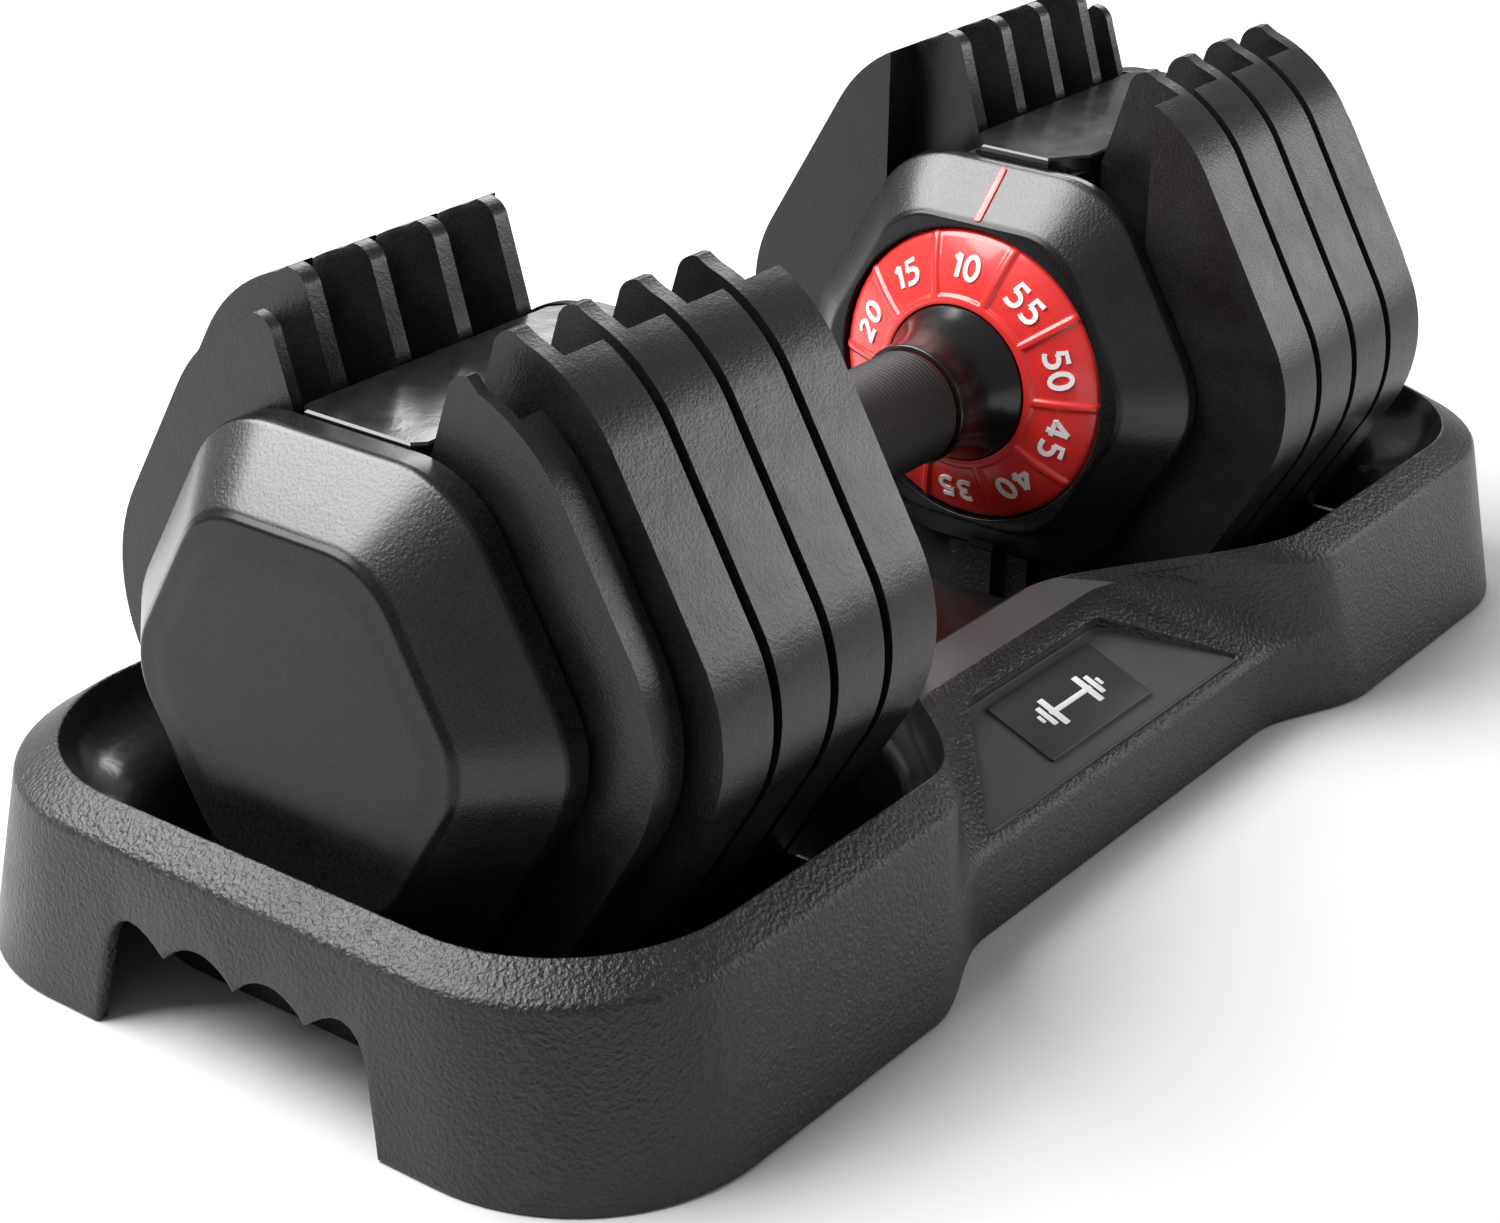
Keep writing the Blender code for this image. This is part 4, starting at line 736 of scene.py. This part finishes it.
foot = Vector((face_x, 0.0, axis_z + face_apothem))
head = Vector((flank_x, 0.0, axis_z + housing_apothem))
along_flank = (head - foot).normalized()
flank_normal = Vector((-along_flank.z, 0.0, along_flank.x))
bar_start, bar_end, bar_half = 0.05 * (head - foot).length, 0.94 * (head - foot).length, 1.1 * MM
bar_outline = corner_rounded([(bar_start, -bar_half), (bar_end, -bar_half), (bar_end, bar_half),
                              (bar_start, bar_half)], 1.0 * MM, 6)
# Each row is millimetres outwards, then millimetres off the flank.
bar_rows = [(0.0, -0.4), (0.0, 0.18), (-0.06, 0.30), (-0.25, 0.38)]
bar_mesh = loft("indicator", [[foot + along_flank * a + Vector((0, b, 0)) + flank_normal * (off * MM)
                               for a, b in grown(bar_outline, out * MM)] for out, off in bar_rows])
for end in ("near", "far"):
    add_piece(f"housing_{end}", housing_mesh, "frame", [housing_black], [f"inner_housing_{end}"],
              end == "near")
    add_piece(f"indicator_{end}_bar", bar_mesh, "frame", [red_gloss], [f"indicator_{end}"],
              end == "near")


# ======================================== outer caps
# Each head ends in a flared hexagonal cap: a smooth rim band, a pebbled flank and a smooth face
# with a soft border. It is a thin shell, open towards the plates.

cap_low, cap_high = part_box("outer_cap_far")
cap_back, cap_face = cap_low[0], cap_high[0]
cap_apothem = (cap_high[2] - cap_low[2]) / 2
cap_flank = cap_back + 7.2 * MM
cap_levels = [
    (cap_face - shell_wall, 20 * MM, 9 * MM), (cap_face - shell_wall, 38.6 * MM, 16.4 * MM),
    (cap_flank, cap_apothem - shell_wall, inner_corner), (cap_back, cap_apothem - shell_wall, inner_corner),
    (cap_back, cap_apothem, base_corner), (cap_flank, cap_apothem, base_corner),
    (cap_face - 0.3 * MM, 41.4 * MM, 19.2 * MM), (cap_face - 0.25 * MM, 38.0 * MM, 17.3 * MM),
    (cap_face, 34.5 * MM, 15.5 * MM), (cap_face, 20 * MM, 9 * MM), (cap_face, 10 * MM, 4.5 * MM),
]
cap_cuts = [0, 0, 0, 0.4 * MM, 0.6 * MM, 1.4 * MM, 0.7 * MM, 1.6 * MM, 1.6 * MM, 0, 0]
cap_mesh = loft("cap", [ring(*level) for level in softened(cap_levels, cap_cuts, 6)])
cap_mesh.set_sharp_from_angle(angle=math.radians(40))
cap_black = grained_shell("cap_black", cap_flank, cap_face - 2.0 * MM, 1.1)
for end in ("near", "far"):
    add_piece(f"cap_{end}", cap_mesh, "frame", [cap_black], [f"outer_cap_{end}"],
              end == "near")


# ======================================== grip
# A steel tube with a dark rubber sleeve, moulded with fine helical ribs. A thin reddish ring of
# the under-layer shows at each end of the sleeve.

def turned(name, profile, sides=96, closed=True):
    """Body of revolution about the handle's axis from (x, radius) pairs."""
    angles = [math.tau * i / sides for i in range(sides)]
    loops = [[Vector((x, radius * math.cos(turn), axis_z + radius * math.sin(turn))) for turn in angles]
             for x, radius in profile]
    mesh = loft(name, loops, closed=closed)
    mesh.set_sharp_from_angle(angle=math.radians(40))
    return mesh


sleeve_low, sleeve_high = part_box("grip_sleeve")
sleeve_r = (sleeve_high[2] - sleeve_low[2]) / 2
sleeve_end = sleeve_high[0]
rib_pitch, rib_depth, sides = 1.45 * MM, 0.34 * MM, 72
tube_r, rows = 12.8 * MM, 384
sleeve_loops = [[Vector((-sleeve_end, tube_r * math.cos(math.tau * i / sides),
                         axis_z + tube_r * math.sin(math.tau * i / sides))) for i in range(sides)]]
for row in range(rows + 1):
    x = -sleeve_end + 2 * sleeve_end * row / rows
    fade = ease((sleeve_end - abs(x)) / (1.6 * MM))
    loop = []
    for i in range(sides):
        turn = math.tau * i / sides
        wave = 0.5 - 0.5 * math.cos(math.tau * (x / rib_pitch) + turn)
        radius = sleeve_r - 0.1 * MM - rib_depth * (1 - wave ** 1.5) * fade - 0.5 * MM * (1 - fade) ** 2
        loop.append(Vector((x, radius * math.cos(turn), axis_z + radius * math.sin(turn))))
    sleeve_loops.append(loop)
sleeve_loops.append([Vector((sleeve_end, p.y, p.z)) for p in sleeve_loops[0]])
sleeve_mesh = loft("sleeve", sleeve_loops, closed=True)
sleeve_mesh.set_sharp_from_angle(angle=math.radians(60))

grip_rubber = Finish("grip_rubber", Specular_IOR_Level=0.4)
rubber_x = abs(grip_rubber.axis("X", grip_rubber.place()))
rubber_fine = grip_rubber.noise(0.4 * MM, 3.0, 0.6)
rubber_base = grip_rubber.mix(grip_rubber.noise(0.01), (0.011, 0.0078, 0.0078), (0.019, 0.0135, 0.013))
end_ring = grip_rubber.step(rubber_x, sleeve_end - 0.9 * MM, sleeve_end - 0.5 * MM)
grip_rubber.feed("Base Color", grip_rubber.mix_onto(end_ring, rubber_base, (0.20, 0.015, 0.012)))
grip_rubber.feed("Roughness", grip_rubber.step(rubber_fine, 0.3, 0.7, 0.48, 0.6))
grip_rubber.emboss(rubber_fine * (0.03 * MM))
add_piece("sleeve", sleeve_mesh, "rotor", [grip_rubber], ["grip_sleeve"])


# ======================================== hubs
# The hub flares from the grip to its widest edge in front of the dial and is moulded in satin
# black plastic.

hub_low, hub_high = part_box("hub_far")
hub_r = (hub_high[2] - hub_low[2]) / 2
hub_start, hub_end = hub_low[0], hub_high[0]
dial_low, dial_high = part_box("dial_far")
hub_edge = dial_low[0]
nose_r, bore_start_x, shaft_hole_r, boss_r = 16.4 * MM, 58.5 * MM, 8.3 * MM, 12.4 * MM
boss_x = face_x + 4.8 * MM
hub_profile = [(hub_start, tube_r), (hub_start, nose_r)]
hub_profile += [(hub_start + (hub_edge - hub_start) * along, nose_r + (hub_r - nose_r) * out)
                for along, out in ((0.3, 0.04), (0.55, 0.2), (0.78, 0.52), (0.93, 0.84))]
hub_profile += [(hub_edge, hub_r), (boss_x, hub_r), (boss_x, boss_r), (hub_end, boss_r),
                (hub_end, shaft_hole_r), (bore_start_x, shaft_hole_r), (bore_start_x, tube_r)]
hub_cuts = [cut * MM for cut in (0, 0.7, 2.5, 2.2, 2.0, 1.2, 0.8, 0.4, 0.4, 0.4, 0, 0, 0)]
hub_mesh = turned("hub", softened(hub_profile, hub_cuts, 7))
hub_black = moulded("hub_black", (0.004, 0.004, 0.0042), (0.007, 0.007, 0.0073), 0.6 * MM, 0.03 * MM,
                    0.17, 0.23)
for end in ("near", "far"):
    add_piece(f"hub_{end}_cone", hub_mesh, "rotor", [hub_black], [f"hub_{end}"], end == "near")


# ======================================== dials
# A glossy red ring whose face slopes back from the hub, with ten sunk panels between raised ribs.
# White raised numbers stand on the panels, and the one at the top is the weight chosen.

dial_tip, dial_back = dial_low[0], dial_high[0]
dial_r = (dial_high[2] - dial_low[2]) / 2
dial_inner = 21.9 * MM
collar, sink, rib_half = 2.2 * MM, 0.8 * MM, 0.6 * MM


def dial_face(radius):
    """X of the ribs' tops: the numbered face slopes back from the hub to the housing's face."""
    share = (radius - dial_inner) / (dial_r - dial_inner)
    return dial_tip + (face_x + 0.4 * MM - dial_tip) * (0.47 * share + 0.53 * share ** 2)


radii = [dial_inner, dial_inner + 0.25 * MM, dial_inner + 0.9 * MM, dial_inner + collar - 0.5 * MM]
radii += [dial_inner + collar - 0.5 * MM + 1.2 * MM * part / 6 for part in range(1, 7)]
radii += [dial_inner + collar + 0.7 * MM + (dial_r - dial_inner - collar - 1.6 * MM) * part / 12
          for part in range(1, 13)]
radii += [dial_r - 0.5 * MM, dial_r - 0.2 * MM, dial_r]
sector_angle = 36.0
half_sector = sector_angle / 2
turns = []
for sector in range(10):
    rib_turn = sector_angle * sector + half_sector
    for part in (-1.0, -0.7, -0.55, -0.42, -0.3, -0.2, -0.1, 0.0, 0.1, 0.2, 0.3, 0.42, 0.55, 0.7):
        turns.append(rib_turn + 6.0 * part)
    turns += [rib_turn + 6.0 + step for step in (0.0, 6.0, 12.0, 18.0)]
turns = sorted(set(round(turn % 360.0, 4) for turn in turns))


def dial_point(x, radius, turn):
    """Point at an angle in degrees from the top, towards -Y."""
    return Vector((x, -radius * math.sin(math.radians(turn)), axis_z + radius * math.cos(math.radians(turn))))


dial_loops = []
for radius in radii:
    loop = []
    for turn in turns:
        off = abs((turn + half_sector) % sector_angle - half_sector)
        from_rib = radius * math.sin(math.radians(half_sector - off))
        panel_depth = ease((radius - dial_inner - collar + 0.4 * MM) / (0.9 * MM))
        panel_depth *= ease((from_rib - rib_half) / (0.8 * MM))
        inner_edge = 0.25 * MM * (1 - ease((radius - dial_inner) / (0.6 * MM)))
        outer_edge = 0.9 * MM * (1 - ease((dial_r - radius) / (0.9 * MM)))
        x = dial_face(radius) + (inner_edge + outer_edge) + sink * panel_depth
        loop.append(dial_point(x, radius, turn))
    dial_loops.append(loop)
for radius in (dial_r, dial_inner):
    dial_loops.append([dial_point(dial_back, radius, turn) for turn in turns])
dial_mesh = loft("dial", dial_loops, closed=True)
dial_mesh.set_sharp_from_angle(angle=math.radians(55))
number_white = Finish("number_white", Specular_IOR_Level=0.5)
white_grain = number_white.noise(0.3 * MM)
number_white.feed("Base Color", number_white.mix(white_grain, (0.78, 0.78, 0.77), (0.86, 0.86, 0.86)))
number_white.feed("Roughness", number_white.step(white_grain, 0.3, 0.7, 0.35, 0.42))
weights = [10, 55, 50, 45, 40, 35, 30, 25, 20, 15]
number_radius, digit_height, stroke, number_proud = 31.6 * MM, 6.1 * MM, 1.3 * MM, 0.5 * MM
# Strokes in shares of a digit's height, from its lower left corner. A nought is a ring instead.
digit_paths = {
    "1": [[(0.0, 0.80), (0.20, 0.98), (0.24, 0.98), (0.24, 0.0)]],
    "2": [[(0.04, 0.86), (0.20, 0.98), (0.42, 0.99), (0.58, 0.86), (0.58, 0.68), (0.44, 0.46), (0.06, 0.02)],
          [(0.0, 0.0), (0.66, 0.0)]],
    "3": [[(0.06, 0.95), (0.30, 1.0), (0.52, 0.92), (0.58, 0.76), (0.50, 0.60), (0.24, 0.54)],
          [(0.24, 0.54), (0.48, 0.50), (0.62, 0.36), (0.60, 0.14), (0.44, 0.02), (0.22, -0.01), (0.0, 0.05)]],
    "4": [[(0.50, 1.0), (0.0, 0.30), (0.0, 0.26), (0.74, 0.26)], [(0.52, 1.0), (0.52, 0.0)]],
    "5": [[(0.60, 1.0), (0.12, 1.0), (0.09, 0.56)],
          [(0.09, 0.58), (0.28, 0.63), (0.50, 0.57), (0.63, 0.40), (0.60, 0.16), (0.44, 0.02), (0.22, -0.01),
           (0.0, 0.05)]],
}
digit_widths = {"0": 0.62, "1": 0.26, "2": 0.66, "3": 0.64, "4": 0.74, "5": 0.64}


def smooth_path(points, rounds=3):
    """Path with its corners cut back again and again, its ends kept."""
    for _ in range(rounds):
        made = [points[0]]
        for first, last in zip(points, points[1:]):
            made += [(0.75 * first[0] + 0.25 * last[0], 0.75 * first[1] + 0.25 * last[1]),
                     (0.25 * first[0] + 0.75 * last[0], 0.25 * first[1] + 0.75 * last[1])]
        points = made + [points[-1]]
    return points


def stroke_outline(path):
    """Outline of a stroke of even width along a path."""
    sides = ([], [])
    for index, here in enumerate(path):
        before, after = Vector(path[max(index - 1, 0)]), Vector(path[min(index + 1, len(path) - 1)])
        along = (after - before).normalized()
        normal = Vector((-along.y, along.x)) * (stroke / 2)
        sides[0].append(Vector(here) + normal)
        sides[1].append(Vector(here) - normal)
    return sides[0] + sides[1][::-1]


def number_mesh(words, proud):
    """Digits centred on the origin, one raised slab for each stroke."""
    gap = stroke + 0.75 * MM
    width = sum(digit_widths[digit] * digit_height for digit in words) + gap * (len(words) - 1)
    start = -width / 2
    shape = bmesh.new()
    for digit in words:
        if digit == "0":
            half, loops = digit_widths["0"] * digit_height / 2, []
            angles = [math.tau * i / 40 for i in range(40)]
            for grow, z in ((stroke / 2, 0.0), (stroke / 2, proud), (-stroke / 2, proud), (-stroke / 2, 0.0)):
                radius_x, radius_y = half + grow, digit_height / 2 + grow
                loops.append([Vector((start + half + radius_x * math.cos(turn), radius_y * math.sin(turn), z))
                              for turn in angles])
            parts = [loft("digit", loops, closed=True)]
        else:
            parts = []
            for number, path in enumerate(digit_paths[digit]):
                sharp = digit in "14" or (digit, number) in (("2", 1), ("5", 0))
                path = path if sharp else smooth_path(path)
                outline = stroke_outline([(start + x * digit_height, (y - 0.5) * digit_height)
                                          for x, y in path])
                parts.append(loft("digit", [[Vector((x, y, z)) for x, y in outline]
                                            for z in (0.0, proud + 0.02 * MM * number)]))
        for part in parts:
            shape.from_mesh(part)
        start += digit_widths[digit] * digit_height + gap
    mesh = bpy.data.meshes.new("number")
    shape.to_mesh(mesh)
    shape.free()
    mesh.shade_flat()
    return mesh


for end, facing in (("near", 1), ("far", -1)):
    mesh = dial_mesh if end == "far" else dial_mesh.copy()
    if end == "near":
        mesh.transform(Matrix.Diagonal((-1.0, 1.0, 1.0, 1.0)))
        mesh.flip_normals()
    add_piece(f"dial_{end}_ring", mesh, "rotor", [red_gloss], [f"dial_{end}"])
    tilt = math.atan2(dial_face(number_radius + 3 * MM) - dial_face(number_radius - 3 * MM), 6 * MM)
    for index, weight in enumerate(weights):
        turn = math.radians(sector_angle * index)
        radial = Vector((0.0, -math.sin(turn), math.cos(turn)))
        outward = radial * math.cos(tilt) - Vector((facing, 0.0, 0.0)) * math.sin(tilt)
        facing_out = Vector((facing, 0.0, 0.0)) * math.cos(tilt) + radial * math.sin(tilt)
        across = outward.cross(facing_out)
        centre = Vector((-facing * (dial_face(number_radius) + sink), 0.0, axis_z)) + radial * number_radius
        digits = number_mesh(str(weight), number_proud)
        turned_to = Matrix((across, outward, facing_out)).transposed().to_4x4()
        digits.transform(Matrix.Translation(centre - facing_out * number_proud / 2) @ turned_to)
        add_piece(f"number_{end}_{weight}", digits, "rotor", [number_white], [])


# ======================================== axle, shafts, discs and wheels
# The steel parts inside the heads: the axle and its nuts are zinc plated, the selector discs are
# die-cast zinc. They show when the handle is lifted out of the plates.

plated_steel = Finish("plated_steel", Metallic=1.0)
steel_broad = plated_steel.noise(0.012, 4.0, 0.6)
steel_lines = plated_steel.noise(0.6 * MM, 2.0, vector=plated_steel.add(
    "Mapping", inputs={"Vector": plated_steel.place(), "Scale": (6.0, 1.0, 1.0)}))
plated_steel.feed("Base Color", plated_steel.mix(steel_broad, (0.40, 0.40, 0.42), (0.56, 0.56, 0.57)))
plated_steel.feed("Roughness", plated_steel.step(steel_lines + steel_broad, 0.6, 1.3, 0.24, 0.4))
plated_steel.emboss(steel_lines * (0.01 * MM))
cast_zinc = Finish("cast_zinc", Metallic=1.0)
zinc_fine = cast_zinc.noise(0.6 * MM, 3.0, 0.6)
zinc_broad = cast_zinc.noise(0.015, 3.0)
cast_zinc.feed("Base Color", cast_zinc.mix(zinc_broad, (0.30, 0.31, 0.33), (0.44, 0.45, 0.47)))
cast_zinc.feed("Roughness", cast_zinc.step(zinc_broad + zinc_fine * 0.3, 0.4, 0.9, 0.38, 0.52))
cast_zinc.emboss(zinc_fine * (0.04 * MM))
for end in ("near", "far"):
    refinish(f"selector_shaft_{end}", plated_steel)
    refinish(f"axle_nut_{end}", plated_steel, 0.4 * MM, 40.0)
    for number in range(1, 6):
        refinish(f"selector_disc_{end}_{number}", cast_zinc, 0.3 * MM, 50.0)
refinish("axle_rod", plated_steel, 0.6 * MM, 50.0)
refinish("grip_tube", plated_steel)
refinish("lock_wheel", cast_zinc, 0.25 * MM, 50.0)
refinish("detent_wheel", cast_zinc, 0.25 * MM, 50.0)


# ======================================== lock, detent and springs
# The lock slider and the detent's guide are black nylon, the plunger and the two springs steel.

refinish("lock_slider", core_black, 0.3 * MM, 40.0)
refinish("detent_guide", core_black, 0.3 * MM, 40.0)
refinish("detent_plunger", plated_steel)
refinish("detent_spring", plated_steel)
refinish("lock_spring", plated_steel)
